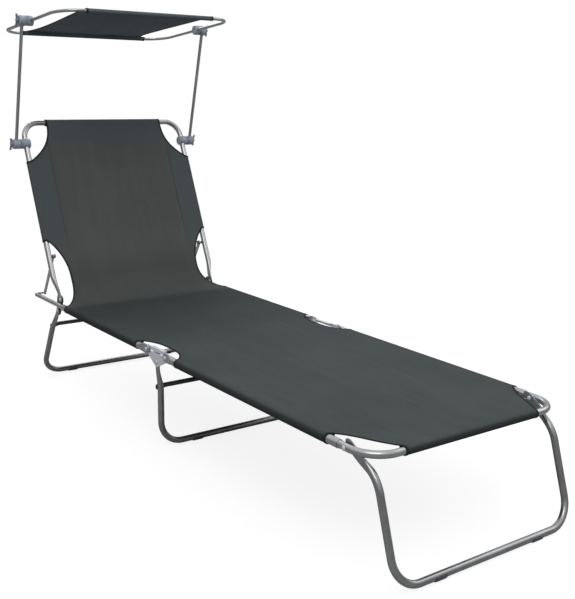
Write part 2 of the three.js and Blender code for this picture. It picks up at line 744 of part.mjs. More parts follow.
// The back's own frame: Y up along its tubes from the hinge, Z square to it on the side that is leant on
function backRow(s) {
  const half = backEdge(s);
  const held = smooth(s / BACK_EDGE.cutEnd) * smooth((BACK_LENGTH - s) / BACK_EDGE.cutEnd);
  const place = (x) => vec(x, s, BAR_LIFT - CLOTH.backSag * held * (1 - (x / HALF) ** 2));
  return { half, place };
}

function backFabric(start) {
  const { cutEnd, cornerStart } = BACK_EDGE;
  const rows = [
    ...steps(start, cutEnd, 8),
    ...steps(cutEnd, cornerStart, 5).slice(1),
    ...steps(cornerStart, BACK_LENGTH, 8).slice(1),
  ];
  const panel = panelSolid(rows.map(backRow), vec(0, 0, 1), CLOTH.thickness);
  const sleeves = SIDES.map(({ sign }) => sleeve(TUBE_RADIUS, cutEnd, cornerStart, alongY(sign * HALF, 0)));
  const top = sleeve(TUBE_RADIUS, -TOP_BAR_HALF, TOP_BAR_HALF, alongX(BACK_LENGTH, 0));
  return join(panel, ...sleeves, top);
}

function backFrame() {
  const start = -BLADE.reach;
  const corners = [
    vec(-HALF, start, 0), vec(-HALF, BACK_LENGTH, 0),
    vec(HALF, BACK_LENGTH, 0), vec(HALF, start, 0),
  ];
  const shift = HALF - HINGE_BLADE;
  const bends = [BACK_BEND_RADIUS, BACK_BEND_RADIUS];
  const bar = pressedTube(corners, bends, vec(1, 0, 0), TUBE_RADIUS, BLADE, shift);
  const blind = HALF - 2 * TUBE_RADIUS;
  const pinHoles = SIDES.map(({ sign }) => rodAlongX(PIN_HOLE, sign * blind, sign * HALF, 0, 0));
  return cut(bar, ...pinHoles);
}

const PROP_ROOM = 1.9;
const PROP_OUTER = HINGE_PLATE_INNER - PROP_ROOM;
const PROP_INNER = PROP_OUTER - PROP.thickness;

// A prop arm in its own frame: Y from its pivot to the pin that stands on the tail
function propArm(sign) {
  const shape = hullOfCircles([[0, 0, PROP.halfWidth], [PROP.length, 0, PROP.halfWidth]]);
  circleHole(shape, 0, 0, PIN_HOLE);
  const arm = plateGeometry(shape, sign * PROP_OUTER, sign * PROP_INNER);
  const middle = (PROP_OUTER + PROP_INNER) / 2;
  const pin = rodAlongX(PROP.pinRadius, sign * middle, sign * (PROP_OUTER + PROP.pinReach), PROP.length, 0);
  return join(arm, pin);
}

const KNOB = { radius: 6.5, rise: 5, crown: 1.5 };
const STUD_END = 5.4;

// The stud that carries a prop arm, shaped to the side of the back's tube, with a round knob inside
function propPivot(sign) {
  const inner = PROP_INNER - GAP;
  const stud = turnedAlongX([
    [0, HALF], [PROP.collar, HALF], [PROP.collar, PROP_OUTER + GAP], [RIVET.shank, PROP_OUTER + GAP],
    [RIVET.shank, inner], [KNOB.radius, inner], [KNOB.radius, inner - KNOB.rise + KNOB.crown],
    [KNOB.radius - KNOB.crown, inner - KNOB.rise], [0, inner - KNOB.rise],
  ].map(([radius, x]) => [radius, sign * x]), 0, 0);
  const around = rodAlongY(outside(TUBE_RADIUS + GAP), -PROP.up / 2, PROP.up / 2, sign * HALF, PROP.behind);
  const beyond = new THREE.BoxGeometry(TUBE_RADIUS, PROP.up, PROP.up);
  beyond.translate(sign * (HALF - STUD_END + TUBE_RADIUS / 2), 0, 0);
  return cut(stud, around, beyond);
}

// Canopy arms and clamps

const CLAMP_DOWN = 66;
const CLAMP_UP = BACK_LENGTH - CLAMP_DOWN;
const ARM = { radius: 4.75, inHolder: 12, length: 362, seat: 7 };
const CLAMP = { radius: 13.5, lowerLip: 12, upperLip: 10, wall: 18, holder: 23, chamfer: 2 };
const BOLT = { radius: 2.5, room: 0.3, depth: 3.5 };
const CLAMP_SPLIT = HALF + CLAMP.wall;
const CLAMP_OUTER = CLAMP_SPLIT + CLAMP.holder;
const ARM_X = CLAMP_SPLIT + ARM.inHolder;
const BOLT_TIP = CLAMP_SPLIT - BOLT.depth;
const WING = { hub: 6.5, hubLength: 7, span: 26, thickness: 4, length: 8, roundness: 2 };

function clampHalf(sign, from, to) {
  const chamfer = CLAMP.chamfer;
  return turnedAlongX([
    [0, from], [CLAMP.radius - chamfer, from], [CLAMP.radius, from + chamfer],
    [CLAMP.radius, to - chamfer], [CLAMP.radius - chamfer, to], [0, to],
  ].map(([radius, x]) => [radius, sign * x]), 0, 0, 18);
}

function boltBore(sign) {
  const from = sign * (BOLT_TIP - BOLT.room);
  return rodAlongX(BOLT.radius + BOLT.room, from, sign * (CLAMP_OUTER + CUT_OVERRUN), 0, 0);
}

// The inner half, which grips the tube of the back or of the canopy
function clampInner(sign, from, tubeX, tubeRadius) {
  const body = clampHalf(sign, from, CLAMP_SPLIT - GAP);
  const reach = CLAMP.radius + CUT_OVERRUN;
  const bore = rodAlongY(outside(tubeRadius + GAP), -reach, reach, sign * tubeX, 0);
  return cut(body, bore, boltBore(sign));
}

// The outer half, which holds the end of the upright arm. way is where the arm goes, up or down.
function clampOuter(sign, way) {
  const body = clampHalf(sign, CLAMP_SPLIT, CLAMP_OUTER);
  const reach = CLAMP.radius + CUT_OVERRUN;
  const seat = way * (ARM.seat - GAP);
  const radius = outside(ARM.radius + GAP, SMALL_SIDES);
  const bore = rodAlongY(radius, seat, way * reach, sign * ARM_X, 0, SMALL_SIDES);
  return cut(body, bore, boltBore(sign));
}

function wingKnob(sign) {
  const foot = CLAMP_OUTER + GAP;
  const tip = foot + WING.hubLength;
  const hub = rodAlongX(WING.hub, sign * foot, sign * tip, 0, 0);
  const bolt = rodAlongX(BOLT.radius, sign * BOLT_TIP, sign * (foot + WING.roundness), 0, 0);
  const shape = hullOfCircles([
    [WING.span / 2 - WING.roundness, 0, WING.roundness],
    [WING.roundness - WING.span / 2, 0, WING.roundness],
  ], SMALL_SIDES);
  const wings = plateGeometry(shape, sign * (tip - WING.length / 2), sign * (tip + WING.length / 2));
  return join(hub, bolt, wings);
}

function armTube(sign) {
  return rodAlongY(ARM.radius, ARM.seat, ARM.length - ARM.seat, sign * ARM_X, 0, SMALL_SIDES);
}

// Canopy, in its own frame: Y from the upper clamps towards the foot end, Z up

const CANOPY = { inClamp: 11, front: 215, rear: 228, bend: 70, radius: 4.75 };
const CANOPY_HALF = CLAMP_SPLIT - CANOPY.inClamp;
const CANOPY_INSET = { frontBar: 74, rearBar: 66, sideCut: 60 };
const CANOPY_EDGE = {
  front: CANOPY_HALF - CANOPY_INSET.frontBar,
  rear: CANOPY_HALF - CANOPY_INSET.rearBar,
};
const canopyShares = { rearPower: 0.35, frontPower: 1.5 };

function canopyFrame() {
  const { front, rear, bend, radius } = CANOPY;
  const halfWidth = CANOPY_HALF;
  const corners = [
    vec(-halfWidth, -rear, 0), vec(-halfWidth, front, 0),
    vec(halfWidth, front, 0), vec(halfWidth, -rear, 0),
  ];
  const route = bentRoute(corners, corners.map(() => bend), true);
  return tube(route, vec(0, 1, 0), round(radius), SMALL_SIDES, true);
}

function canopyRow(t) {
  const share = (t + CANOPY.rear) / (CANOPY.front + CANOPY.rear);
  const straight = CANOPY_EDGE.rear + (CANOPY_EDGE.front - CANOPY_EDGE.rear) * share;
  const hollow = 4 * share * (1 - share);
  const curve = share ** canopyShares.rearPower * (1 - share) ** canopyShares.frontPower;
  const half = straight - CANOPY_INSET.sideCut * curve;
  const place = (x) => vec(x, t, CANOPY.radius + CLOTH.room - CLOTH.canopySag * hollow * (1 - (x / half) ** 2));
  return { half, place };
}

function canopyFabric() {
  const { front: far, rear: near } = CANOPY;
  const hemRows = [0, 0.01, 0.03, 0.06, 0.1].map((share) => (near + far) * share - near);
  const rows = [...hemRows, ...steps(hemRows.at(-1), far, 9).slice(1)].map(canopyRow);
  const panel = panelSolid(rows, vec(0, 0, 1), CLOTH.thickness);
  const front = sleeve(CANOPY.radius, -CANOPY_EDGE.front, CANOPY_EDGE.front, alongX(CANOPY.front, 0));
  const rear = sleeve(CANOPY.radius, -CANOPY_EDGE.rear, CANOPY_EDGE.rear, alongX(-CANOPY.rear, 0));
  return join(panel, front, rear);
}

// The assembly

// The sling is one cloth. It is slit across just before each hinge of the deck, and at the crease of the back.
const SLIT = { before: 30, width: 0.7 };
const CREASE_SLIT = { before: 16, after: 4 };
const FABRIC_JOINTS = {
  footEnd: FOOT_PIN - SLIT.before,
  midStart: FOOT_PIN - SLIT.before + SLIT.width,
  midEnd: SEAT_PIN - SLIT.before,
  seatStart: SEAT_PIN - SLIT.before + SLIT.width,
  seatEnd: HINGE - CREASE_SLIT.before,
  backStart: CREASE_SLIT.after,
};
const PAD_INSET = { frontPads: 111, midPads: 106, rearPads: 97 };
const CROSSBAR_DOWN = { midBar: 68, rearBar: 65 };

function addFootSection() {
  for (const { name, sign } of SIDES) {
    piece(frame, `foot_rail_${name}`, footRail(sign), steel);
    const inner = FRONT_BLADE - BLADE.thickness / 2;
    const rivet = rivetGeometry(sign * inner, sign * (HALF + TUBE_RADIUS), FRONT_PIVOT, RAIL_HEIGHT);
    piece(frame, `front_leg_rivet_${name}`, rivet, zinc);
  }
  piece(frame, 'foot_end_tube', footBend(), steel);
  piece(frame, 'foot_sling', footFabric(FABRIC_JOINTS.footEnd), cloth);
}

function addPads(prefix, place, baseY) {
  for (const { name, sign } of SIDES) {
    piece(frame, `${prefix}_foot_sleeve_${name}`, padGeometry(sign * place, baseY), plastic);
  }
}

function addFrontLeg() {
  const profile = frontLegProfile();
  const pivot = { y: FRONT_PIVOT, z: RAIL_HEIGHT };
  const shift = FRONT_LEG_X - FRONT_BLADE;
  const radii = [NECK_BEND_RADIUS, LEG_BEND_RADIUS];
  piece(frame, 'front_leg', legGeometry(profile, FRONT_LEG_X, shift, radii, pivot), steel);
  addPads('front', FRONT_LEG_X - PAD_INSET.frontPads, profile.at(-1)[0]);
}

function addMidHinge() {
  for (const { name, sign } of SIDES) {
    piece(frame, `mid_plate_${name}`, midPlate(sign), zinc);
    piece(frame, `mid_seat_pin_${name}`, midPin(sign, SEAT_PIN), zinc);
    piece(frame, `mid_foot_pin_${name}`, midPin(sign, FOOT_PIN), zinc);
    const inner = MID_BLADE - BLADE.thickness / 2;
    const rivet = rivetGeometry(sign * inner, sign * MID_PLATE_OUTER, MID_PIVOT.y, MID_PIVOT.z);
    piece(frame, `mid_leg_rivet_${name}`, rivet, zinc);
  }
  piece(frame, 'mid_sling', midFabric(FABRIC_JOINTS.midStart, FABRIC_JOINTS.midEnd), cloth);
}

function addMidLeg() {
  const profile = straightLegProfile(MID_PIVOT, -MID_LEG_LEAN);
  const shift = MID_LEG_X - MID_BLADE;
  piece(frame, 'mid_leg', legGeometry(profile, MID_LEG_X, shift, [LEG_BEND_RADIUS], MID_PIVOT), steel);
  addCrossbar('mid_crossbar', MID_LEG_X, MID_PIVOT, -MID_LEG_LEAN, CROSSBAR_DOWN.midBar);
  addPads('mid', MID_LEG_X - PAD_INSET.midPads, profile.at(-1)[0]);
}

function addSeatSection() {
  for (const { name, sign } of SIDES) {
    piece(frame, `seat_rail_${name}`, seatRail(sign), steel);
    piece(frame, `tail_tube_${name}`, tailTube(sign), steel);
    piece(frame, `hinge_plate_${name}`, hingePlate(sign), darkPlate);
    const outer = HINGE_BLADE + BLADE.thickness / 2;
    const rivet = rivetGeometry(sign * HINGE_PLATE_INNER, sign * outer, REAR_PIVOT.y, REAR_PIVOT.z);
    piece(frame, `rear_leg_rivet_${name}`, rivet, zinc);
    const pin = rivetGeometry(sign * HINGE_PLATE_INNER, sign * outer, HINGE, HINGE_HEIGHT);
    piece(frame, `back_hinge_pin_${name}`, pin, zinc);
  }
  piece(frame, 'seat_sling', seatFabric(FABRIC_JOINTS.seatStart, FABRIC_JOINTS.seatEnd), cloth);
}

function addRearLeg() {
  const profile = straightLegProfile(REAR_PIVOT, REAR_LEG_LEAN);
  const shift = REAR_LEG_X - HINGE_BLADE;
  piece(frame, 'rear_leg', legGeometry(profile, REAR_LEG_X, shift, [LEG_BEND_RADIUS], REAR_PIVOT), steel);
  addCrossbar('rear_crossbar', REAR_LEG_X, REAR_PIVOT, REAR_LEG_LEAN, CROSSBAR_DOWN.rearBar);
  addPads('rear', REAR_LEG_X - PAD_INSET.rearPads, profile.at(-1)[0]);
}

function addClampSet(parent, place, level, way) {
  const group = at(0, place, 0, parent);
  for (const { name, sign } of SIDES) {
    piece(group, `${level}_clamp_outer_${name}`, clampOuter(sign, way), clampPlastic);
    piece(group, `${level}_wing_knob_${name}`, wingKnob(sign), clampPlastic);
  }
}

function addBack() {
  const back = at(0, HINGE, HINGE_HEIGHT);
  back.rotation.x = radians(BACK_ANGLE);
  piece(back, 'back_frame', backFrame(), steel);
  piece(back, 'back_sling', backFabric(FABRIC_JOINTS.backStart), cloth);
  const props = at(0, PROP.up, -PROP.behind, back);
  const turned = at(0, PROP_PIVOT.y, PROP_PIVOT.z);
  turned.rotation.x = -PROP_SLOPE;
  const clamps = at(0, CLAMP_UP, 0, back);
  for (const { name, sign } of SIDES) {
    piece(props, `prop_pivot_${name}`, propPivot(sign), plastic);
    piece(turned, `prop_arm_${name}`, propArm(sign), steel);
    const half = clampInner(sign, HALF - CLAMP.lowerLip, HALF, TUBE_RADIUS);
    piece(clamps, `lower_clamp_inner_${name}`, half, clampPlastic);
  }
  return clamps;
}

function addCanopy(clamps) {
  const arms = at(0, 0, 0, clamps);
  arms.rotation.x = Math.PI / 2 + radians(ARM_LEAN) - radians(BACK_ANGLE);
  addClampSet(arms, 0, 'lower', 1);
  addClampSet(arms, ARM.length, 'upper', -1);
  for (const { name, sign } of SIDES) piece(arms, `canopy_arm_${name}`, armTube(sign), steel);
  const canopy = at(0, ARM.length, 0, arms);
  canopy.rotation.x = -(Math.PI / 2 + radians(ARM_LEAN)) - radians(CANOPY_TILT);
  const turned = at(0, 0, 0, canopy);
  turned.rotation.z = Math.PI;
  piece(turned, 'canopy_frame', canopyFrame(), steel);
  piece(turned, 'canopy_cloth', canopyFabric(), cloth);
  for (const { name, sign } of SIDES) {
    const half = clampInner(sign, CANOPY_HALF - CLAMP.upperLip, CANOPY_HALF, CANOPY.radius);
    piece(canopy, `upper_clamp_inner_${name}`, half, clampPlastic);
  }
}

addFootSection();
addFrontLeg();
addMidHinge();
addMidLeg();
addSeatSection();
addRearLeg();
addCanopy(addBack());

// The origin goes to the floor under the middle of the lounger
lounger.updateMatrixWorld(true);
const box = new THREE.Box3().setFromObject(lounger, true);
const middle = box.getCenter(vec(0, 0, 0));
frame.position.set(-middle.x, -middle.y, -box.min.z);

export default lounger;
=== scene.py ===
"""The looks of a folding sun lounger with a canopy: smooth tubes, cloth, plastic, plates, light and camera.

Lengths are in millimetres in the lounger's own frame, where y is 0 at the middle of the foot bar, and are
turned into the row frame's metres when a mesh is made.
"""

import logging
import math
from dataclasses import dataclass
from enum import Enum
from typing import Callable, Iterable, Sequence

import bmesh
import bpy
import numpy as np
from mathutils import Matrix, Vector


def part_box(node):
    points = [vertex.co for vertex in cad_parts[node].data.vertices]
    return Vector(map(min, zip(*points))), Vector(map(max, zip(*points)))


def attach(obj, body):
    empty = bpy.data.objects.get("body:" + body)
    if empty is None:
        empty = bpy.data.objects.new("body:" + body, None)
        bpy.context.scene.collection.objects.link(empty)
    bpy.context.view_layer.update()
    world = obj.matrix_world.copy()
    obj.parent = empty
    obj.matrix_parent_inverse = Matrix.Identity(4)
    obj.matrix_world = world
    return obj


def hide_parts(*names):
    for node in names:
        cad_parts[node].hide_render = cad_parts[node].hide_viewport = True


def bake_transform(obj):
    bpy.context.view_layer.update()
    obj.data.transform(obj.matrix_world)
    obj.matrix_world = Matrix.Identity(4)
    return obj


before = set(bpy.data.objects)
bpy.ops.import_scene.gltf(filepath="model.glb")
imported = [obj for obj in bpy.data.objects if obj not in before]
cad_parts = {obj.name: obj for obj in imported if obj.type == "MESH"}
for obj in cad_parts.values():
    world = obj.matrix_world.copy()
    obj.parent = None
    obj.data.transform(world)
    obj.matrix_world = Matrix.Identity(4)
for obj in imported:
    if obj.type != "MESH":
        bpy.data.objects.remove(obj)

LOG = logging.getLogger("lounger")
MM = 0.001
Point = np.ndarray
SIDES = (("right", -1.0), ("left", 1.0))


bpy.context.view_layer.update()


@dataclass(frozen=True)
class Lounger:
    """The sizes that every part of the lounger shares, in millimetres and degrees."""

    half: float = 270.0
    rail_height: float = 252.0
    rail_radius: float = 9.5
    tube_radius: float = 8.0
    tail_radius: float = 6.5
    gap: float = 0.3
    foot_rail_end: float = 93.0
    front_pivot: float = 72.0
    foot_pin: float = 755.0
    seat_pin: float = 850.0
    hinge: float = 1390.0
    seat_rail_end: float = 1352.0
    back_angle: float = 65.3
    back_length: float = 551.0
    arm_lean: float = 12.4
    canopy_tilt: float = 6.9
    clamp_up: float = 485.0
    arm_length: float = 362.0
    arm_x: float = 300.0
    hinge_room: float = 0.5

    @property
    def hinge_height(self) -> float:
        """Height of the back's hinge pins."""
        return self.rail_height + self.tail_radius + self.tube_radius + self.hinge_room


SIZE = Lounger()
FOOT_BAR_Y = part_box("foot_end_tube")[0].y / MM + SIZE.tube_radius
NEARLY_ALONG = 0.9


def vec(x: float, y: float, z: float) -> Point:
    """A point or direction as an array."""
    return np.array([x, y, z], float)


def unit(direction: Point) -> Point:
    """The direction with length one."""
    return direction / np.linalg.norm(direction)


def smooth(value: float) -> float:
    """Eases a share from 0 to 1."""
    t = min(1.0, max(0.0, value))
    return t * t * (3 - 2 * t)


@dataclass(frozen=True)
class Place:
    """A frame of its own inside the lounger's frame: an origin and a turn about X."""

    y: float = 0.0
    z: float = 0.0
    turn: float = 0.0

    def points(self, points: Iterable[Point]) -> np.ndarray:
        """Takes points of this frame to the lounger's frame.

        Args:
            points: Points in this frame, in millimetres.

        Returns:
            The same points in the lounger's frame.
        """
        angle = math.radians(self.turn)
        cos, sin = math.cos(angle), math.sin(angle)
        p = np.asarray(list(points), float)
        return np.stack(
            [p[:, 0], self.y + p[:, 1] * cos - p[:, 2] * sin, self.z + p[:, 1] * sin + p[:, 2] * cos], axis=1
        )

    def within(self, y: float, z: float, turn: float) -> "Place":
        """A frame placed in this one.

        Args:
            y: Its origin along this frame's Y.
            z: Its origin along this frame's Z.
            turn: Its turn about X in degrees, on top of this frame's.

        Returns:
            The new frame, as seen from the lounger's frame.
        """
        origin = self.points([vec(0, y, z)])[0]
        return Place(origin[1], origin[2], self.turn + turn)


BACK = Place(SIZE.hinge, SIZE.hinge_height, SIZE.back_angle)
ARMS = BACK.within(SIZE.clamp_up, 0.0, 90 + SIZE.arm_lean - SIZE.back_angle)
CANOPY = ARMS.within(SIZE.arm_length, 0.0, -90 - SIZE.arm_lean - SIZE.canopy_tilt)


class Route:
    """A line through space with rounded bends, as stations with a place, a direction and a distance."""

    def __init__(self, places: list[Point], along: list[Point]) -> None:
        """Keeps the stations and measures the distances between them.

        Args:
            places: The station's places.
            along: The line's direction at each of them.
        """
        self.places = places
        self.along = along
        self.distances = [0.0]
        for a, b in zip(places, places[1:]):
            self.distances.append(self.distances[-1] + float(np.linalg.norm(b - a)))

    @property
    def length(self) -> float:
        """The whole length of the line."""
        return self.distances[-1]

    @staticmethod
    def _bend(
        before: Point, corner: Point, after: Point, radius: float, steps: int
    ) -> list[tuple[Point, Point]]:
        """The stations of one rounded corner.

        Args:
            before: The corner before it.
            corner: The corner itself.
            after: The corner after it.
            radius: The bend's radius.
            steps: How many steps the bend takes.

        Returns:
            Places on the bend, each with the line's direction.
        """
        start, end = unit(corner - before), unit(after - corner)
        turn = math.acos(float(np.clip(start @ end, -1, 1)))
        inward = unit(end - start * float(start @ end))
        first = corner - start * radius * math.tan(turn / 2)
        centre = first + inward * radius
        stations = []
        for step in range(steps + 1):
            angle = turn * step / steps
            place = centre - inward * radius * math.cos(angle) + start * radius * math.sin(angle)
            stations.append((place, start * math.cos(angle) + inward * math.sin(angle)))
        return stations

    @classmethod
    def bent(
        cls, corners: Sequence[Point], radii: Sequence[float] = (), closed: bool = False, steps: int = 14
    ) -> "Route":
        """A route through corners, each rounded by its radius.

        Args:
            corners: The corners, with the two ends where the route is open.
            radii: One bend radius for each corner that is rounded.
            closed: Whether the route runs back to its start.
            steps: Stations along each bend.

        Returns:
            The route.
        """
        count = len(corners)
        stations: list[tuple[Point, Point]] = []
        if closed:
            for i in range(count):
                stations += cls._bend(corners[i - 1], corners[i], corners[(i + 1) % count], radii[i], steps)
        else:
            stations.append((corners[0], unit(corners[1] - corners[0])))
            for i in range(1, count - 1):
                stations += cls._bend(corners[i - 1], corners[i], corners[i + 1], radii[i - 1], steps)
            stations.append((corners[-1], unit(corners[-1] - corners[-2])))
        return cls([place for place, _ in stations], [along for _, along in stations])

    def with_stations(self, extra: Iterable[float]) -> "Route":
        """The same route with more stations.

        Args:
            extra: Distances from its start where it gets one more.

        Returns:
            The new route.
        """
        places, along = [], []
        wanted = sorted({*self.distances, *[d for d in extra if 0 < d < self.length]})
        for distance in wanted:
            i = min(max(1, int(np.searchsorted(self.distances, distance))), len(self.distances) - 1)
            span = self.distances[i] - self.distances[i - 1]
            share = (distance - self.distances[i - 1]) / span if span else 0.0
            places.append(self.places[i - 1] * (1 - share) + self.places[i] * share)
            along.append(unit(self.along[i - 1] * (1 - share) + self.along[i] * share))
        return Route(places, along)


@dataclass(frozen=True)
class Section:
    """A tube's cross-section at one station."""

    thick: float
    wide: float
    shift: float = 0.0
    square: float = 0.0


@dataclass(frozen=True)
class Blade:
    """How a tube's end is pressed flat: sizes in millimetres from its tip."""

    thickness: float
    half_width: float
    reach: float
    flat: float
    blend: float
    blunt_share: float = 0.02
    squareness: float = 0.6
    first_station: float = 0.04
    tip_steps: int = 8
    run_steps: int = 12

    def stations(self) -> list[float]:
        """Distances from the tip where the form needs a station.

        Returns:
            The distances, from the tip on.
        """
        turns = [math.pi / 2 * k / self.tip_steps for k in range(1, self.tip_steps + 1)]
        run = [self.flat + self.blend * k / self.run_steps for k in range(self.run_steps + 1)]
        return [self.first_station, *[self.reach * (1 - math.cos(turn)) for turn in turns], *run]

    def section(self, radius: float, distance: float, shift: float) -> Section:
        """The section at a distance from the tip.

        Args:
            radius: The round tube's radius.
            distance: How far the station lies from the tip.
            shift: How far the blade lies from the tube's middle.

        Returns:
            The section there.
        """
        pressed = 1 - smooth((distance - self.flat) / self.blend)
        tip = math.sqrt(max(self.blunt_share**2, 1 - (1 - min(1.0, distance / self.reach)) ** 2))
        wide = (radius + (self.half_width - radius) * pressed) * tip
        thick = radius + (self.thickness / 2 - radius) * pressed
        return Section(thick, wide, shift * pressed, self.squareness * pressed)


LEG_BLADE = Blade(thickness=3, half_width=9.4, reach=10, flat=24, blend=58)
FRONT_BLADE = Blade(thickness=3, half_width=10.2, reach=18, flat=34, blend=58)
RAIL_BLADE = Blade(thickness=5, half_width=11.5, reach=11, flat=22, blend=24)
BAR_BLADE = Blade(thickness=3, half_width=8, reach=6, flat=15, blend=16)


def ring_faces(sides: int, here: int, there: int) -> list[tuple[int, ...]]:
    """The faces between two closed rings of points."""
    return [(here + k, here + (k + 1) % sides, there + (k + 1) % sides, there + k) for k in range(sides)]


def skin(
    rings: Sequence[Sequence[Point]], closed: bool = False
) -> tuple[list[Point], list[tuple[int, ...]]]:
    """A skin over closed rings of points.

    Args:
        rings: The rings, with as many points in each.
        closed: Whether the last ring is joined to the first. If not, both ends are filled.

    Returns:
        The points and the faces.
    """
    sides, count = len(rings[0]), len(rings)
    faces = []
    for i in range(count if closed else count - 1):
        faces += ring_faces(sides, i * sides, (i + 1) % count * sides)
    if not closed:
        faces += [tuple(range(sides))[::-1], tuple(range((count - 1) * sides, count * sides))]
    return [point for ring in rings for point in ring], faces


class Shape:
    """A mesh in the making: points in millimetres, faces, and cloth coordinates where it has them."""

    def __init__(self) -> None:
        """Starts an empty shape."""
        self.points: list[Point] = []
        self.faces: list[tuple[int, ...]] = []
        self.cloth: list[tuple[float, float]] = []
        self.hem: list[float] = []

    def add(self, points: Iterable[Point], faces: Iterable[Sequence[int]]) -> None:
        """Adds points and faces.

        Args:
            points: The points.
            faces: The faces, which count from the first of these points.
        """
        base = len(self.points)
        self.points += list(points)
        self.faces += [tuple(base + i for i in f) for f in faces]

    def tube(
        self,
        route: Route,
        section: Callable[[float, float], Section],
        across: Point = vec(1, 0, 0),
        sides: int = 28,
        closed: bool = False,
    ) -> "Shape":
        """Adds a tube along a route.

        Args:
            route: The tube's centre line.
            section: Gives the section from the distances to the start and to the end.
            across: The section's first axis at the start.
            sides: Points around the tube.
            closed: Whether the tube runs back into itself.

        Returns:
            This shape.
        """
        first, rings = across, []
        angles = 2 * np.pi * (np.arange(sides) + 0.5) / sides
        for place, along, distance in zip(route.places, route.along, route.distances):
            first = unit(first - along * float(first @ along))
            second = np.cross(along, first)
            form = section(distance, route.length - distance)
            cos, sin = np.cos(angles), np.sin(angles)
            a = np.sign(cos) * np.abs(cos) ** (1 - form.square) * form.thick + form.shift
            b = np.sign(sin) * np.abs(sin) ** (1 - form.square) * form.wide
            rings.append(place + a[:, None] * first + b[:, None] * second)
        self.add(*skin(rings, closed))
        return self

    def turned(
        self, profile: Sequence[tuple[float, float]], centre: Point, axis: Point, sides: int = 32
    ) -> "Shape":
        """Adds a turned piece.

        Args:
            profile: Radius and distance along the axis, from one end on the axis to the other.
            centre: Where the distance is 0.
            axis: The direction the piece turns about.
            sides: Points around it.

        Returns:
            This shape.
        """
        axis = unit(axis)
        helper = vec(0, 0, 1) if abs(axis[2]) < NEARLY_ALONG else vec(0, 1, 0)
        first = unit(np.cross(axis, helper))
        second = np.cross(axis, first)
        if profile[0][1] > profile[-1][1]:
            profile = list(reversed(profile))
        points, faces = [centre + axis * profile[0][1]], []
        for radius, along in profile[1:-1]:
            for k in range(sides):
                angle = 2 * math.pi * k / sides
                out = first * math.cos(angle) + second * math.sin(angle)
                points.append(centre + axis * along + out * radius)
        points.append(centre + axis * profile[-1][1])
        rings, last = len(profile) - 2, len(points) - 1
        for k in range(sides):
            other = (k + 1) % sides
            faces.append((0, 1 + other, 1 + k))
            for i in range(rings - 1):
                a, b = 1 + i * sides, 1 + (i + 1) * sides
                faces.append((a + k, a + other, b + other, b + k))
            a = 1 + (rings - 1) * sides
            faces.append((a + k, a + other, last))
        self.add(points, faces)
        return self

    def moved(self, place: Place) -> "Shape":
        """Takes the shape from a frame of its own to the lounger's frame."""
        self.points = list(place.points(self.points))
        return self

    def make(self, name: str, sharp: float = 35.0) -> bpy.types.Object:
        """Makes the mesh object, in the row frame.

        Args:
            name: The object's name.
            sharp: Edges that turn by more than this many degrees stay sharp.

        Returns:
            The object.
        """
        mesh = bpy.data.meshes.new(name)
        shifted = [((p + vec(0, FOOT_BAR_Y, 0)) * MM).tolist() for p in self.points]
        mesh.from_pydata(shifted, [], self.faces)
        if self.cloth:
            layer = mesh.uv_layers.new(name="cloth")
            flat = np.array(self.cloth, float) * MM
            corners = np.zeros(len(mesh.loops), int)
            mesh.loops.foreach_get("vertex_index", corners)
            layer.data.foreach_set("uv", flat[corners].ravel())
            hem = mesh.attributes.new("hem", "FLOAT", "POINT")
            hem.data.foreach_set("value", np.array(self.hem, np.float32) * MM)
        mesh.validate()
        mesh.shade_smooth()
        mesh.set_sharp_from_angle(angle=math.radians(sharp))
        made = bpy.data.objects.new(name, mesh)
        bpy.context.scene.collection.objects.link(made)
        return made


class Wire:
    """A value in a node tree that can be added, multiplied and so on."""

    def __init__(self, graph: "Graph", socket: bpy.types.NodeSocket) -> None:
        """Keeps the socket and the tree that it is in."""
        self.graph = graph
        self.socket = socket

    def _maths(self, operation: str, *values: "Wire | float") -> "Wire":
        """One Math node of the tree."""
        return self.graph.node("ShaderNodeMath", {"operation": operation}, *values)

    def __add__(self, other: "Wire | float") -> "Wire":
        """This value plus another."""
        return self._maths("ADD", self, other)

    def __radd__(self, other: float) -> "Wire":
        """A number plus this value."""
        return self._maths("ADD", other, self)

    def __sub__(self, other: "Wire | float") -> "Wire":
        """This value less another."""
        return self._maths("SUBTRACT", self, other)

    def __rsub__(self, other: float) -> "Wire":
        """A number less this value."""
        return self._maths("SUBTRACT", other, self)

    def __mul__(self, other: "Wire | float") -> "Wire":
        """This value times another."""
        return self._maths("MULTIPLY", self, other)

    def __rmul__(self, other: float) -> "Wire":
        """A number times this value."""
        return self._maths("MULTIPLY", other, self)

    def sine(self) -> "Wire":
        """The sine of this value."""
        return self._maths("SINE", self)

    def absolute(self) -> "Wire":
        """This value without its sign."""
        return self._maths("ABSOLUTE", self)

    def above(self, limit: float) -> "Wire":
        """1 where this value is above the limit, and 0 elsewhere."""
        return self._maths("GREATER_THAN", self, limit)

    def clamped(self, low: float, high: float) -> "Wire":
        """A share from 0 to 1 as this value goes from low to high."""
        settings = {"interpolation_type": "SMOOTHSTEP"}
        return self.graph.node("ShaderNodeMapRange", settings, self, low, high)


Colour = tuple[float, float, float]


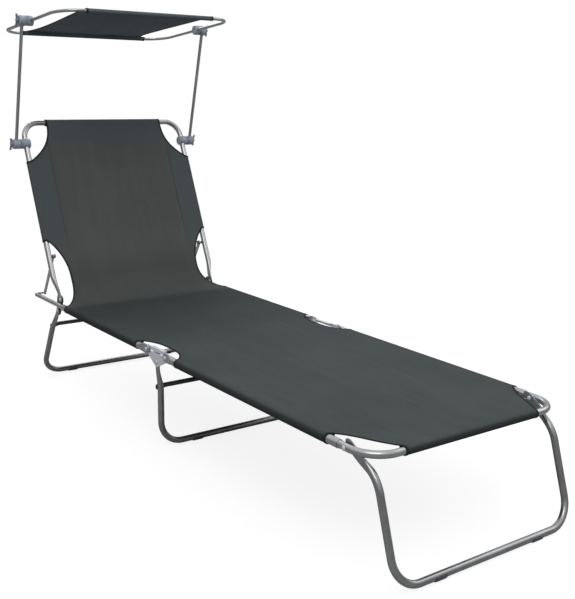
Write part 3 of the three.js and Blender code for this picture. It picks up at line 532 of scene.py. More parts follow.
class Graph:
    """A node tree."""

    def __init__(self, tree: bpy.types.NodeTree) -> None:
        """Keeps the tree's nodes and links."""
        self.nodes = tree.nodes
        self.links = tree.links

    def connect(self, socket: bpy.types.NodeSocket, value: object) -> None:
        """Gives an input a link or a constant.

        Args:
            socket: The input.
            value: What it gets: a wire, a number, a colour or a vector.
        """
        if isinstance(value, Wire):
            self.links.new(value.socket, socket)
        elif isinstance(value, tuple) and len(value) == 3 and socket.type == "RGBA":
            socket.default_value = (*value, 1.0)
        else:
            socket.default_value = value

    def node(self, kind: str, settings: dict[str, object], *inputs: object, output: int | str = 0) -> Wire:
        """Adds a node.

        Args:
            kind: The node's type.
            settings: Its properties.
            *inputs: Values for its enabled inputs in their order. None leaves one as it is.
            output: The output that is wanted.

        Returns:
            That output.
        """
        made = self.nodes.new(kind)
        for key, value in settings.items():
            setattr(made, key, value)
        open_inputs = [s for s in made.inputs if s.enabled]
        for socket, value in zip(open_inputs, inputs):
            if value is not None:
                self.connect(socket, value)
        outputs = [s for s in made.outputs if s.enabled]
        return Wire(self, made.outputs[output] if isinstance(output, str) else outputs[output])

    def blend(self, share: Wire | float, low: object, high: object) -> Wire:
        """Goes from one colour to another as the share goes from 0 to 1."""
        return self.node("ShaderNodeMix", {"data_type": "RGBA"}, share, low, high)

    def split(self, vector: Wire) -> tuple[Wire, Wire, Wire]:
        """Takes a vector apart.

        Args:
            vector: The vector.

        Returns:
            Its three parts.
        """
        made = self.node("ShaderNodeSeparateXYZ", {}, vector).socket.node
        x, y, z = (Wire(self, socket) for socket in made.outputs)
        return x, y, z

    def noise(
        self, scale: float, detail: float = 2.0, roughness: float = 0.5, stretch: Colour | None = None
    ) -> Wire:
        """Noise in the row frame.

        Args:
            scale: How many features it has in a metre.
            detail: How many finer layers lie on it.
            roughness: How strong they are.
            stretch: A factor on the scale along each axis.

        Returns:
            A value around a half.
        """
        place = self.node("ShaderNodeTexCoord", {}, output="Object")
        if stretch:
            place = self.node("ShaderNodeMapping", {}, place, None, None, stretch)
        return self.node("ShaderNodeTexNoise", {}, place, scale, detail, roughness)


class Paint(Graph):
    """The node tree of one material."""

    def __init__(self, name: str) -> None:
        """Starts a material with one Principled shader.

        Args:
            name: The material's name.
        """
        self.material = bpy.data.materials.new(name)
        self.material.use_nodes = True
        super().__init__(self.material.node_tree)
        self.shader = self.nodes["Principled BSDF"]

    def bump(self, height: Wire, strength: float, distance: float) -> None:
        """Gives the shader small relief.

        Args:
            height: The relief's height.
            strength: How strong it shows.
            distance: The depth of a height of one, in metres.
        """
        self.set(Normal=self.node("ShaderNodeBump", {}, strength, distance, None, height))

    def fade_to_white(self, near: float, far: float, least: float) -> None:
        """For the camera, turns the surface to plain white away from the middle of the lounger.

        Args:
            near: Where it starts to turn white, in metres from the middle.
            far: Where it is all white.
            least: The share of white in the middle.
        """
        place = self.node("ShaderNodeTexCoord", {}, output="Object")
        away = self.node("ShaderNodeVectorMath", {"operation": "LENGTH"}, place, output="Value")
        seen = self.node("ShaderNodeLightPath", {}, output="Is Camera Ray")
        share = away.clamped(near, far) * (1 - least) + least
        shaded, white = Wire(self, self.shader.outputs[0]), self.node("ShaderNodeEmission", {})
        mixed = self.node("ShaderNodeMixShader", {}, share * seen, shaded, white)
        self.connect(self.nodes["Material Output"].inputs["Surface"], mixed)

    def set(self, **values: object) -> None:
        """Sets the shader's inputs by name, with an underscore for each space."""
        for name, value in values.items():
            self.connect(self.shader.inputs[name.replace("_", " ")], value)


@dataclass(frozen=True)
class Coat:
    """A coated or plated metal: its slot in the record, its colours, its shine and how uneven it is."""

    name: str
    slot: str
    colour: Colour
    worn: Colour
    metallic: float
    roughness: float
    unevenness: float = 0.08
    coat: float = 0.0
    coat_roughness: float = 0.25
    clouds: float = 22.0
    worn_from: float = 0.35
    worn_to: float = 0.75
    grain: float = 900.0
    relief: float = 0.12
    depth: float = 0.2

    def build(self) -> bpy.types.Material:
        """Makes the material.

        Returns:
            The material.
        """
        graph = Paint(self.name)
        cloudy = graph.noise(self.clouds, 4.0, 0.6)
        graph.set(
            Base_Color=graph.blend(cloudy.clamped(self.worn_from, self.worn_to), self.colour, self.worn),
            Metallic=self.metallic,
            Roughness=cloudy * self.unevenness + (self.roughness - self.unevenness / 2),
            Coat_Weight=self.coat,
            Coat_Roughness=self.coat_roughness,
        )
        graph.bump(graph.noise(self.grain), self.relief, self.depth * MM)
        return graph.material


@dataclass(frozen=True)
class Moulded:
    """A moulded plastic with a fine grain: its slot in the record, its colours and its shine."""

    name: str
    slot: str
    colour: Colour
    light: Colour
    roughness: float
    unevenness: float = 0.12
    shine: float = 0.45
    clouds: float = 60.0
    light_from: float = 0.3
    light_to: float = 0.7
    grain: float = 1800.0
    relief: float = 0.25
    depth: float = 0.3

    def build(self) -> bpy.types.Material:
        """Makes the material.

        Returns:
            The material.
        """
        graph = Paint(self.name)
        cloudy = graph.noise(self.clouds, 3.0)
        grain = graph.noise(self.grain, 3.0, 0.7)
        graph.set(
            Base_Color=graph.blend(cloudy.clamped(self.light_from, self.light_to), self.colour, self.light),
            Roughness=grain * self.unevenness + (self.roughness - self.unevenness / 2),
            Specular_IOR_Level=self.shine,
        )
        graph.bump(grain, self.relief, self.depth * MM)
        return graph.material


@dataclass(frozen=True)
class Bands:
    """The back cloth's doubled bands at its sides and top, where less painted light shines through than in
    its middle, and painted shade at its foot, in millimetres.
    """

    colour: Colour
    aside: float = 205.0
    low: float = 120.0
    low_ease: float = 70.0
    up: float = 480.0
    ease: float = 4.0
    seam: tuple[float, float, float] = (-5.0, -1.0, 3.0)
    seam_share: float = 0.25
    shade_end: float = 140.0
    shade_share: float = 0.26

    def over(self, graph: Graph, base: Wire, dark: Colour, u: Wire, v: Wire) -> Wire:
        """Lays the bands over a cloth, with a seam line at their edge and painted shade at the cloth's foot.

        Args:
            graph: The tree.
            base: The cloth's colour.
            dark: The colour of its seams, and of the painted shade at its foot.
            u: The cloth coordinate across.
            v: The cloth coordinate along.

        Returns:
            The colour with the bands, the seam and the painted shade.
        """
        wide, aside = u.absolute(), self.aside * MM
        above = v.clamped(self.low * MM, (self.low + self.low_ease) * MM)
        top = v.clamped(self.up * MM, (self.up + self.ease) * MM)
        outside = 1 - (1 - wide.clamped(aside, aside + self.ease * MM) * above) * (1 - top)
        # The doubled bands are darker and cooler than the middle, whose colour is painted light shining
        # through one layer.
        banded = graph.blend(outside, base, self.colour)
        start, full, end = (aside + edge * MM for edge in self.seam)
        line = wide.clamped(start, full) * (1 - wide.clamped(aside, end)) * above
        seamed = graph.blend(line * (1 - top) * self.seam_share, banded, dark)
        # Painted shade: the cloth darkens toward its foot in the crease.
        return graph.blend((1 - v.clamped(0.0, self.shade_end * MM)) * self.shade_share, seamed, dark)


@dataclass(frozen=True)
class PaintedShade:
    """Painted shade on the deck's cloth: darker toward the crease, where the back and canopy shade it, and
    round its pockets, in millimetres.
    """

    # Near the back cloth's colour, which is painted light shining through that cloth.
    after: Colour
    shade_run: tuple[float, float] = (650.0, 1250.0)
    shade_share: float = 0.5
    crease: tuple[float, float] = (1270.0, 1322.0)
    side_pocket_shade: tuple[float, float] = (4.0, 13.0)
    foot_pocket_shade: tuple[float, float] = (4.0, 12.0)
    pocket_shade_share: float = 0.65

    def over(self, graph: Graph, base: Wire, dark: Colour, u: Wire, v: Wire) -> Wire:
        """Lays the painted shade over a cloth, and blends it into the back's colour at the crease.

        Args:
            graph: The tree.
            base: The cloth's colour.
            dark: The colour of the painted shade.
            u: The cloth coordinate across.
            v: The cloth coordinate along.

        Returns:
            The colour with the painted shade.
        """
        pairs = (self.shade_run, self.crease, self.foot_pocket_shade)
        shade_run, crease, foot = ([limit * MM for limit in pair] for pair in pairs)
        side = [(SIZE.half + limit) * MM for limit in self.side_pocket_shade]
        # Painted shade: darker toward the crease, under the back and the canopy.
        base = graph.blend(v.clamped(*shade_run) * self.shade_share, base, dark)
        # At the crease, toward the back cloth's colour, which is painted light shining through it.
        base = graph.blend(v.clamped(*crease), base, self.after)
        # Painted shade along the side pockets and the foot pocket.
        base = graph.blend(u.absolute().clamped(*side) * self.pocket_shade_share, base, dark)
        return graph.blend((v * -1).clamped(*foot) * self.pocket_shade_share, base, dark)


@dataclass(frozen=True)
class Weave:
    """A woven cloth with bound edges: its slot in the record, its colours and its threads, in millimetres."""

    name: str
    slot: str
    colour: Colour
    light: Colour
    hem_and_shade_colour: Colour
    overlay: Bands | PaintedShade | None = None
    clouds: float = 5.0
    streaks: float = 6.0
    stretch: Colour = (9.0, 0.7, 0.7)
    streak_share: float = 0.4
    light_from: float = 0.35
    light_to: float = 0.68
    thread: float = 0.9
    crossing: float = 0.35
    gap_from: float = 0.15
    gap_to: float = 0.75
    hem: float = 6.0
    bound_share: float = 0.8
    seam_start_shares: tuple[float, float] = (0.55, 0.66)
    seam_end_shares: tuple[float, float] = (0.72, 0.82)
    stitch: float = 1.6
    stitch_limit: float = -0.2
    stitch_share: float = 0.5
    roughness: float = 0.82
    hem_roughness: float = 0.1
    shine: float = 0.12
    thread_height: float = 0.6
    hem_height: float = 1.4
    stitch_depth: float = 0.8
    relief: float = 0.45
    depth: float = 0.5

    def mottled(self, graph: Graph) -> Wire:
        """The share of the lighter colour: soft clouds, with streaks along the cloth.

        Args:
            graph: The tree.

        Returns:
            A share from 0 to 1.
        """
        clouds = graph.noise(self.clouds, 5.0, 0.6)
        streaks = graph.noise(self.streaks, 3.0, 0.6, self.stretch)
        mixed = clouds * (1 - self.streak_share) + streaks * self.streak_share
        return mixed.clamped(self.light_from, self.light_to)

    def threads(self, u: Wire, v: Wire) -> Wire:
        """The height of the threads, where every second crossing is raised.

        Args:
            u: The cloth coordinate across.
            v: The cloth coordinate along.

        Returns:
            The height, from about 0 to about 1.
        """
        turns = math.pi / (self.thread * MM)
        crossings = (u * (turns / 2)).sine() * (v * (turns / 2)).sine()
        warp, weft = (u * turns).sine().absolute(), (v * turns).sine().absolute()
        return warp * 0.5 + weft * 0.5 + crossings * self.crossing

    def build(self) -> bpy.types.Material:
        """Makes the material.

        Returns:
            The material.
        """
        graph = Paint(self.name)
        u, v, _ = graph.split(graph.node("ShaderNodeUVMap", {"uv_map": "cloth"}))
        base = graph.blend(self.mottled(graph), self.colour, self.light)
        # The overlay's painted shade darkens toward this hem colour too.
        if self.overlay:
            base = self.overlay.over(graph, base, self.hem_and_shade_colour, u, v)
        threads = self.threads(u, v)
        gaps = graph.blend(threads.clamped(self.gap_from, self.gap_to), self.hem_and_shade_colour, base)
        edge = graph.node("ShaderNodeAttribute", {"attribute_name": "hem"}, output="Fac")
        hem = self.hem * MM
        bound = 1 - edge.clamped(hem * self.bound_share, hem)
        pairs = (self.seam_start_shares, self.seam_end_shares)
        start, end = ([hem * share for share in pair] for pair in pairs)
        seam = edge.clamped(*start) * (1 - edge.clamped(*end))
        stitches = seam * ((u + v) * (math.pi / (self.stitch * MM))).sine().above(self.stitch_limit)
        cloth = graph.blend(bound, gaps, self.hem_and_shade_colour)
        graph.set(
            Base_Color=graph.blend(stitches * self.stitch_share, cloth, self.light),
            Roughness=self.roughness + self.hem_roughness * bound,
            Specular_IOR_Level=self.shine,
        )
        height = threads * self.thread_height + bound * self.hem_height - stitches * self.stitch_depth
        graph.bump(height, self.relief, self.depth * MM)
        return graph.material


HEM = (0.010, 0.012, 0.013)


class Look(Enum):
    """The finishes of the lounger's pieces."""

    TUBE = Coat("tube_paint", "tube_paint", (0.25, 0.256, 0.262), (0.31, 0.316, 0.322), 0.88, 0.29, 0.1, 0.1)
    # Same paint as TUBE, made darker: painted shade on the low legs near the floor.
    LEG_TUBE = Coat("leg_tube_shaded", "tube_paint", (0.19, 0.196, 0.202), (0.24, 0.246, 0.252), 0.88, 0.28, 0.1,
                    coat=0.15)
    # Same paint again, near black: painted shade on the crossbars under the deck.
    DARK_TUBE = Coat("crossbar_paint", "tube_paint", (0.045, 0.047, 0.05), (0.065, 0.067, 0.07), 0.5, 0.4,
                     coat=0.1)
    ZINC = Coat("zinc", "zinc", (0.50, 0.525, 0.59), (0.62, 0.645, 0.70), 0.7, 0.42, 0.2)
    DARK_PLATE = Coat("dark_plate", "dark_plate", (0.06, 0.064, 0.07), (0.09, 0.094, 0.1), 0.5, 0.45)
    PROP = Coat("prop_steel", "prop_steel", (0.30, 0.305, 0.31), (0.38, 0.385, 0.39), 0.8, 0.38, 0.12)
    # The deck's copy of the sling fabric, with painted shade toward the crease and round the pockets.
    SLING = Weave("sling_fabric", "sling_fabric", (0.036, 0.044, 0.044), (0.046, 0.055, 0.054), HEM,
                  PaintedShade((0.051, 0.055, 0.054)))
    # One fabric with SLING: the back's lighter, warmer colour is painted light shining through the cloth.
    BACK_SLING = Weave("back_fabric_backlit", "sling_fabric", (0.061, 0.065, 0.063), (0.072, 0.076, 0.074), HEM,
                       Bands((0.058, 0.068, 0.073)))
    CANOPY = Weave("canopy_fabric", "canopy_fabric", (0.067, 0.086, 0.099), (0.088, 0.110, 0.125),
                   (0.010, 0.012, 0.014))
    FOOT = Moulded("foot_plastic", "foot_plastic", (0.028, 0.032, 0.042), (0.045, 0.05, 0.06), 0.5)
    CLAMP = Moulded("clamp_plastic", "clamp_plastic", (0.155, 0.18, 0.225), (0.22, 0.245, 0.29), 0.42)
    KNOB = Moulded("knob_plastic", "clamp_plastic", (0.10, 0.115, 0.14), (0.15, 0.165, 0.19), 0.4)


class Dresser:
    """Makes pieces from shapes: gives them their finish, their body and the CAD nodes that they stand for."""

    edge_steps = 3
    edge_angle = 30.0
    node_sharp = 37.0

    def __init__(self) -> None:
        """Starts with no materials made."""
        self.materials: dict[Look, bpy.types.Material] = {}

    def finish(self, made: bpy.types.Object, look: Look) -> bpy.types.Object:
        """Gives an object its finish. A finish is made when it is first used.

        Args:
            made: The object.
            look: Its finish.

        Returns:
            The object.
        """
        if look not in self.materials:
            self.materials[look] = look.value.build()
        made.data.materials.clear()
        made.data.materials.append(self.materials[look])
        return made

    def piece(self, name: str, shape: Shape, look: Look, body: str, nodes: Sequence[str]) -> None:
        """Makes a rigid piece that rides on a body.

        Args:
            name: The piece's name.
            shape: Its shape.
            look: Its finish.
            body: The CAD body that it moves with.
            nodes: The CAD nodes that it stands for.
        """
        made = self.finish(shape.make(name), look)
        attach(made, body)
        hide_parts(*nodes)
        LOG.info("%s rides on %s", name, body)

    def node(self, name: str, look: Look, edge: float) -> None:
        """Dresses a CAD node that is shown as it is, with its edges rounded by a bevel.

        Args:
            name: The node's name.
            look: Its finish.
            edge: Width of the rounding of its edges, in millimetres.
        """
        made = self.finish(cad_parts[name], look)
        made.data.shade_smooth()
        made.data.set_sharp_from_angle(angle=math.radians(self.node_sharp))
        bevel = made.modifiers.new("edges", "BEVEL")
        bevel.width = edge * MM
        bevel.segments = self.edge_steps
        bevel.limit_method = "ANGLE"
        bevel.angle_limit = math.radians(self.edge_angle)
        bevel.harden_normals = True
        LOG.info("%s is shown as it is", name)


Profile = Sequence[tuple[float, float]]


@dataclass(frozen=True)
class Fastener:
    """A rivet or pin with a domed head at both ends, in millimetres."""

    shank: float = 3.0
    head: float = 5.2
    rise: float = 2.0
    bulge: float = 0.8
    steps: int = 6
    sides: int = 24

    def dome(self, face: float, out: float) -> list[tuple[float, float]]:
        """The profile of one head.

        Args:
            face: Where the head lies on, along the rivet's axis.
            out: 1 or -1, the way that it looks.

        Returns:
            Radius and place along the axis, from the head's top to its rim.
        """
        turns = [math.pi / 2 * (k / self.steps) for k in range(self.steps + 1)]
        return [(self.head * math.sin(t) ** self.bulge, face + out * self.rise * math.cos(t)) for t in turns]

    def shape(self, inner: float, outer: float, y: float, z: float) -> Shape:
        """The rivet through everything between two planes across the lounger.

        Args:
            inner: X of the first plane.
            outer: X of the second plane.
            y: Its place along the lounger.
            z: Its height.

        Returns:
            The shape.
        """
        way = math.copysign(1.0, outer - inner)
        a, b = inner - way * SIZE.gap, outer + way * SIZE.gap
        low, high = self.dome(a, -way), self.dome(b, way)
        shank = ((self.shank, a), (self.shank, b))
        profile = [(0.0, low[0][1]), *low[1:], *shank, *high[:0:-1], (0.0, high[0][1])]
        return Shape().turned(profile, vec(0, y, z), vec(1, 0, 0), self.sides)


RIVET = Fastener()
LIP = 0.8
LIP_STATIONS = (0.05, 0.2, 0.45, LIP)


def round_tube(radius: float) -> Callable[[float, float], Section]:
    """The section of a plain round tube."""
    return lambda start, end: Section(radius, radius)


def lipped(radius: float) -> Callable[[float, float], Section]:
    """The section of a round tube whose far end is slightly rounded.

    Args:
        radius: The tube's radius.

    Returns:
        What gives the section from the distances to both ends.
    """

    def section(to_start: float, to_end: float) -> Section:
        """The section at a distance from the far end."""
        size = radius - LIP * (1 - math.sqrt(max(0.0, 1 - (1 - min(to_end, LIP) / LIP) ** 2)))
        return Section(size, size)

    return section


def pressed_tube(
    corners: Sequence[Point],
    radii: Sequence[float],
    radius: float,
    blade: Blade,
    shift: float,
    both: bool = True,
    across: Point = vec(1, 0, 0),
) -> Shape:
    """A tube whose start, or both of whose ends, are pressed to blades.

    Args:
        corners: The corners of its centre line.
        radii: The bend radii.
        radius: The tube's radius.
        blade: The pressed end's form.
        shift: How far the blade is set off along the section's first axis.
        both: Whether the other end is pressed too.
        across: The section's first axis at the start.

    Returns:
        The tube's shape.
    """
    route = Route.bent(corners, radii)
    stations = [*blade.stations(), *LIP_STATIONS, *[route.length - d for d in LIP_STATIONS]]
    if both:
        stations += [route.length - d for d in blade.stations()]
    plain = round_tube(radius) if both else lipped(radius)

    def section(to_start: float, to_end: float) -> Section:
        """The pressed section near a blade's tip, and the round one elsewhere.

        Args:
            to_start: The distance to the tube's start.
            to_end: The distance to its end.

        Returns:
            The section there.
        """
        distance = min(to_start, to_end) if both else to_start
        if distance > blade.flat + blade.blend:
            return plain(to_start, to_end)
        return blade.section(radius, distance, shift)

    return Shape().tube(route.with_stations(stations), section, across)


def side_rail(sign: float, start: float, end: float) -> Shape:
    """A straight side rail whose start is pressed.

    Args:
        sign: The side it is on.
        start: Where it starts along the lounger.
        end: Where it ends.

    Returns:
        The rail's shape.
    """
    corners = [vec(sign * SIZE.half, y, SIZE.rail_height) for y in (start, end)]
    return pressed_tube(corners, (), SIZE.rail_radius, RAIL_BLADE, 0.0, both=False)


@dataclass(frozen=True)
class Levels:
    """Where the blades, plates and leg tubes lie across the lounger, from its middle, in millimetres."""

    mid_blade: float = 263.4
    mid_leg: float = 256.0
    front_blade: float = 258.7
    front_leg: float = 253.0
    hinge_blade: float = 261.7
    rear_leg: float = 268.0
    hinge_plate_inner: float = 257.9
    mid_plate_outer: float = 267.2
    mid_plate_inner: float = 265.2


ACROSS = Levels()
HALF_BLADE = LEG_BLADE.thickness / 2


@dataclass(frozen=True)
class FootSection:
    """The foot end's rails, its bent tube and the front leg's rivets, in millimetres."""

    bend: float = 64.0
    plug: float = 57.0

    def build(self, dresser: Dresser) -> None:
        """Makes the pieces.

        Args:
            dresser: What makes pieces.
        """
        for side, sign in SIDES:
            rail = side_rail(sign, SIZE.foot_pin + RAIL_BLADE.reach, SIZE.foot_rail_end)
            dresser.piece(f"rail_tube_foot_{side}", rail, Look.TUBE, "foot", [f"foot_rail_{side}"])
            inner, outer = sign * (ACROSS.front_blade - HALF_BLADE), sign * (SIZE.half + SIZE.tube_radius)
            rivet = RIVET.shape(inner, outer, SIZE.front_pivot, SIZE.rail_height)
            dresser.piece(f"rivet_front_{side}", rivet, Look.ZINC, "foot", [f"front_leg_rivet_{side}"])
        half, end = SIZE.half, SIZE.foot_rail_end + self.plug
        corners = [vec(x, y, SIZE.rail_height) for x, y in ((-half, end), (-half, 0), (half, 0), (half, end))]
        tube = Shape().tube(Route.bent(corners, [self.bend] * 2), round_tube(SIZE.tube_radius))
        dresser.piece("foot_bar_tube", tube, Look.TUBE, "foot", ["foot_end_tube"])


SOLE = 9.8


@dataclass(frozen=True)
class FootPad:
    """A plastic pad that is clipped round the lower side of a leg's base, in millimetres and degrees."""

    inner: float = 8.1
    outer: float = SOLE
    thin: float = 0.15
    half_length: float = 15.0
    low_angle: float = -190.0
    high_angle: float = 10.0
    arc_steps: int = 26
    half_rings: int = 6
    ring_spread: float = 1.5
    round_share: float = 0.5
    end_share: float = 0.35

    def outer_at(self, part: float) -> float:
        """The pad's outer radius.

        Args:
            part: A share of the way from the pad's middle to its end.

        Returns:
            The radius there.
        """
        rounded = max(0.0, (part - self.round_share) / (1 - self.round_share))
        thinnest = self.inner + self.thin
        share = self.end_share + (1 - self.end_share) * math.sqrt(max(0.0, 1 - rounded**2))
        return thinnest + (self.outer - thinnest) * share

    def shape(self, node: str) -> Shape:
        """The pad in the place of a CAD sleeve.

        Args:
            node: The sleeve's CAD node.

        Returns:
            The shape.
        """
        low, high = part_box(node)
        x, y = (low.x + high.x) / 2 / MM, (low.y + high.y) / 2 / MM - FOOT_BAR_Y
        sweep = (self.high_angle - self.low_angle) / self.arc_steps
        angles = [math.radians(self.low_angle + sweep * k) for k in range(self.arc_steps + 1)]
        rings = []
        for k in range(-self.half_rings, self.half_rings + 1):
            part = abs(k) / self.half_rings
            along = math.copysign(self.half_length * (1 - (1 - part) ** self.ring_spread), k)
            around = [(self.outer_at(part), a) for a in angles] + [(self.inner, a) for a in reversed(angles)]
            rings.append([vec(x + along, y + r * math.cos(a), SOLE + r * math.sin(a)) for r, a in around])
        sides = len(rings[0])
        faces = [f for i in range(len(rings) - 1) for f in ring_faces(sides, i * sides, (i + 1) * sides)]
        for first in (0, (len(rings) - 1) * sides):
            last = first + sides - 1
            for j in range(self.arc_steps):
                face = (first + j, last - j, last - 1 - j, first + j + 1)
                faces.append(face[::-1] if first else face)
        made = Shape()
        made.add([point for ring in rings for point in ring], [face[::-1] for face in faces])
        return made


@dataclass(frozen=True)
class Crossbar:
    """The bar behind a leg: how far it lies below the pivot, its size and its rivets, in millimetres."""

    pivot: tuple[float, float]
    down: float
    overhang: float = 4.0
    radius: float = 6.0
    head: Profile = ((0.0, -1.0), (4.0, -1.0), (4.0, 0.0), (3.5, 0.9), (2.2, 1.5), (0.0, 1.7))
    head_sides: int = 24

    def shape(self, x: float, lean: float) -> Shape:
        """The bar, with a rivet's head at both tubes of the leg.

        Args:
            x: Where the leg's tubes lie across the lounger.
            lean: How far the leg leans, in degrees.

        Returns:
            The shape.
        """
        face = SIZE.tube_radius + SIZE.gap
        back, reach = face + self.radius, x + self.overhang
        shift = BAR_BLADE.thickness / 2 - self.radius
        ends = [vec(-reach, back, 0), vec(reach, back, 0)]
        bar = pressed_tube(ends, (), self.radius, BAR_BLADE, shift, across=vec(0, 1, 0))
        profile = [(radius, face + BAR_BLADE.thickness + rise) for radius, rise in self.head]
        for _, sign in SIDES:
            bar.turned(profile, vec(sign * x, 0, 0), vec(0, 1, 0), self.head_sides)
        return bar.moved(Place(*self.pivot, lean).within(0, -self.down, 0))


@dataclass(frozen=True)
class Leg:
    """A U-shaped leg: its side profile from the tip down, and how it stands, in millimetres and degrees."""

    name: str
    profile: Profile
    x: float
    blade: float
    radii: tuple[float, ...]
    lean: float = 0.0
    bar: Crossbar | None = None
    form: Blade = LEG_BLADE

    def build(self, dresser: Dresser) -> None:
        """Makes the leg, its foot pads and its crossbar.

        Args:
            dresser: What makes pieces.
        """
        corners = [vec(-self.x, y, z) for y, z in self.profile]
        corners += [vec(self.x, y, z) for y, z in reversed(self.profile)]
        radii = [*self.radii, *reversed(self.radii)]
        tube = pressed_tube(corners, radii, SIZE.tube_radius, self.form, self.x - self.blade)
        dresser.piece(f"{self.name}_tube", tube, Look.LEG_TUBE, self.name, [self.name])
        for side, _ in SIDES:
            node = f"{self.name.removesuffix('_leg')}_foot_sleeve_{side}"
            dresser.piece(node.replace("sleeve", "pad"), FootPad().shape(node), Look.FOOT, self.name, [node])
        if self.bar:
            node = self.name.replace("_leg", "_crossbar")
            bar = self.bar.shape(self.x, self.lean)
            dresser.piece(f"{node}_tube", bar, Look.DARK_TUBE, self.name, [node])


def front_profile(neck_slope: float = 32.0, neck: float = 85.0, lean: float = 18.4) -> Profile:
    """The front leg's side profile.

    Args:
        neck_slope: How steeply the neck runs down from the pivot, in degrees.
        neck: The neck's length from the pivot to the knee.
        lean: How far the leg leans below the knee, in degrees.

    Returns:
        Places along the lounger and up, from the tip down.
    """
    y, z, slope = SIZE.front_pivot, SIZE.rail_height, math.radians(neck_slope)
    knee = (y - neck * math.cos(slope), z - neck * math.sin(slope))
    tip = (y + FRONT_BLADE.reach * math.cos(slope), z + FRONT_BLADE.reach * math.sin(slope))
    return tip, knee, (knee[0] - (knee[1] - SOLE) * math.tan(math.radians(lean)), SOLE)


def straight_profile(y: float, z: float, lean: float) -> Profile:
    """A straight leg's side profile.

    Args:
        y: The pivot's place along the lounger.
        z: The pivot's height.
        lean: How far the leg leans, in degrees.

    Returns:
        Places along the lounger and up, from the tip down.
    """
    slope = math.tan(math.radians(lean))
    rise = LEG_BLADE.reach * math.cos(math.radians(lean))
    return (y - rise * slope, z + rise), (y + (z - SOLE) * slope, SOLE)


FRONT_RADII = (80.0, 60.0)
BASE_RADIUS = 60.0
MID_PIVOT = (806.0, 228.0)
MID_LEAN = -1.5
REAR_PIVOT = (1410.0, 230.0)
REAR_LEAN = 26.4
LEGS = (
    Leg("front_leg", front_profile(), ACROSS.front_leg, ACROSS.front_blade, FRONT_RADII, form=FRONT_BLADE),
    Leg("mid_leg", straight_profile(*MID_PIVOT, MID_LEAN), ACROSS.mid_leg, ACROSS.mid_blade,
        (BASE_RADIUS,), MID_LEAN, Crossbar(MID_PIVOT, down=68.0, overhang=9.0)),
    Leg("rear_leg", straight_profile(*REAR_PIVOT, REAR_LEAN), ACROSS.rear_leg, ACROSS.hinge_blade,
        (BASE_RADIUS,), REAR_LEAN, Crossbar(REAR_PIVOT, down=65.0)),
)


@dataclass(frozen=True)
class MidHinge:
    """The plates between the foot and seat rails, with their pins and rivets, in millimetres."""

    plate_edge: float = 0.35

    def build(self, dresser: Dresser) -> None:
        """Makes the pieces.

        Args:
            dresser: What makes pieces.
        """
        for side, sign in SIDES:
            dresser.node(f"mid_plate_{side}", Look.ZINC, self.plate_edge)
            inner, outer = sign * ACROSS.mid_plate_inner, sign * (SIZE.half + RAIL_BLADE.thickness / 2)
            for name, y in (("mid_seat_pin", SIZE.seat_pin), ("mid_foot_pin", SIZE.foot_pin)):
                pin = RIVET.shape(inner, outer, y, SIZE.rail_height)
                dresser.piece(f"{name}_turned_{side}", pin, Look.ZINC, "mid_hinge", [f"{name}_{side}"])
            inner, outer = sign * (ACROSS.mid_blade - HALF_BLADE), sign * ACROSS.mid_plate_outer
            rivet = RIVET.shape(inner, outer, *MID_PIVOT)
            dresser.piece(f"rivet_mid_{side}", rivet, Look.ZINC, "mid_hinge", [f"mid_leg_rivet_{side}"])


@dataclass(frozen=True)
class SeatSection:
    """The seat's rails, the notched tails behind them and the dark hinge plates, in millimetres."""

    tail_edge: float = 0.5
    plate_edge: float = 0.4

    def build(self, dresser: Dresser) -> None:
        """Makes the pieces.

        Args:
            dresser: What makes pieces.
        """
        for side, sign in SIDES:
            rail = side_rail(sign, SIZE.seat_pin - RAIL_BLADE.reach, SIZE.seat_rail_end)
            dresser.piece(f"rail_tube_seat_{side}", rail, Look.TUBE, "seat", [f"seat_rail_{side}"])
            dresser.node(f"tail_tube_{side}", Look.TUBE, self.tail_edge)
            dresser.node(f"hinge_plate_{side}", Look.DARK_PLATE, self.plate_edge)
            inner, outer = sign * ACROSS.hinge_plate_inner, sign * (ACROSS.hinge_blade + HALF_BLADE)
            rivet = RIVET.shape(inner, outer, *REAR_PIVOT)
            dresser.piece(f"rivet_rear_{side}", rivet, Look.ZINC, "seat", [f"rear_leg_rivet_{side}"])
            pin = RIVET.shape(inner, outer, SIZE.hinge, SIZE.hinge_height)
            dresser.piece(f"hinge_pin_{side}", pin, Look.ZINC, "back_hinge", [f"back_hinge_pin_{side}"])


@dataclass(frozen=True)
class BackRest:
    """The back's bent tube, and the prop arms with their studs, in millimetres."""

    bend: float = 50.0
    arm_edge: float = 0.4
    pivot_edge: float = 0.5

    def build(self, dresser: Dresser) -> None:
        """Makes the pieces.

        Args:
            dresser: What makes pieces.
        """
        low, high, half = -LEG_BLADE.reach, SIZE.back_length, SIZE.half
        corners = [vec(-half, low, 0), vec(-half, high, 0), vec(half, high, 0), vec(half, low, 0)]
        shift = half - ACROSS.hinge_blade
        tube = pressed_tube(corners, [self.bend] * 2, SIZE.tube_radius, LEG_BLADE, shift).moved(BACK)
        dresser.piece("back_tube", tube, Look.TUBE, "back", ["back_frame"])
        for side, _ in SIDES:
            dresser.node(f"prop_arm_{side}", Look.PROP, self.arm_edge)
            dresser.node(f"prop_pivot_{side}", Look.DARK_PLATE, self.pivot_edge)


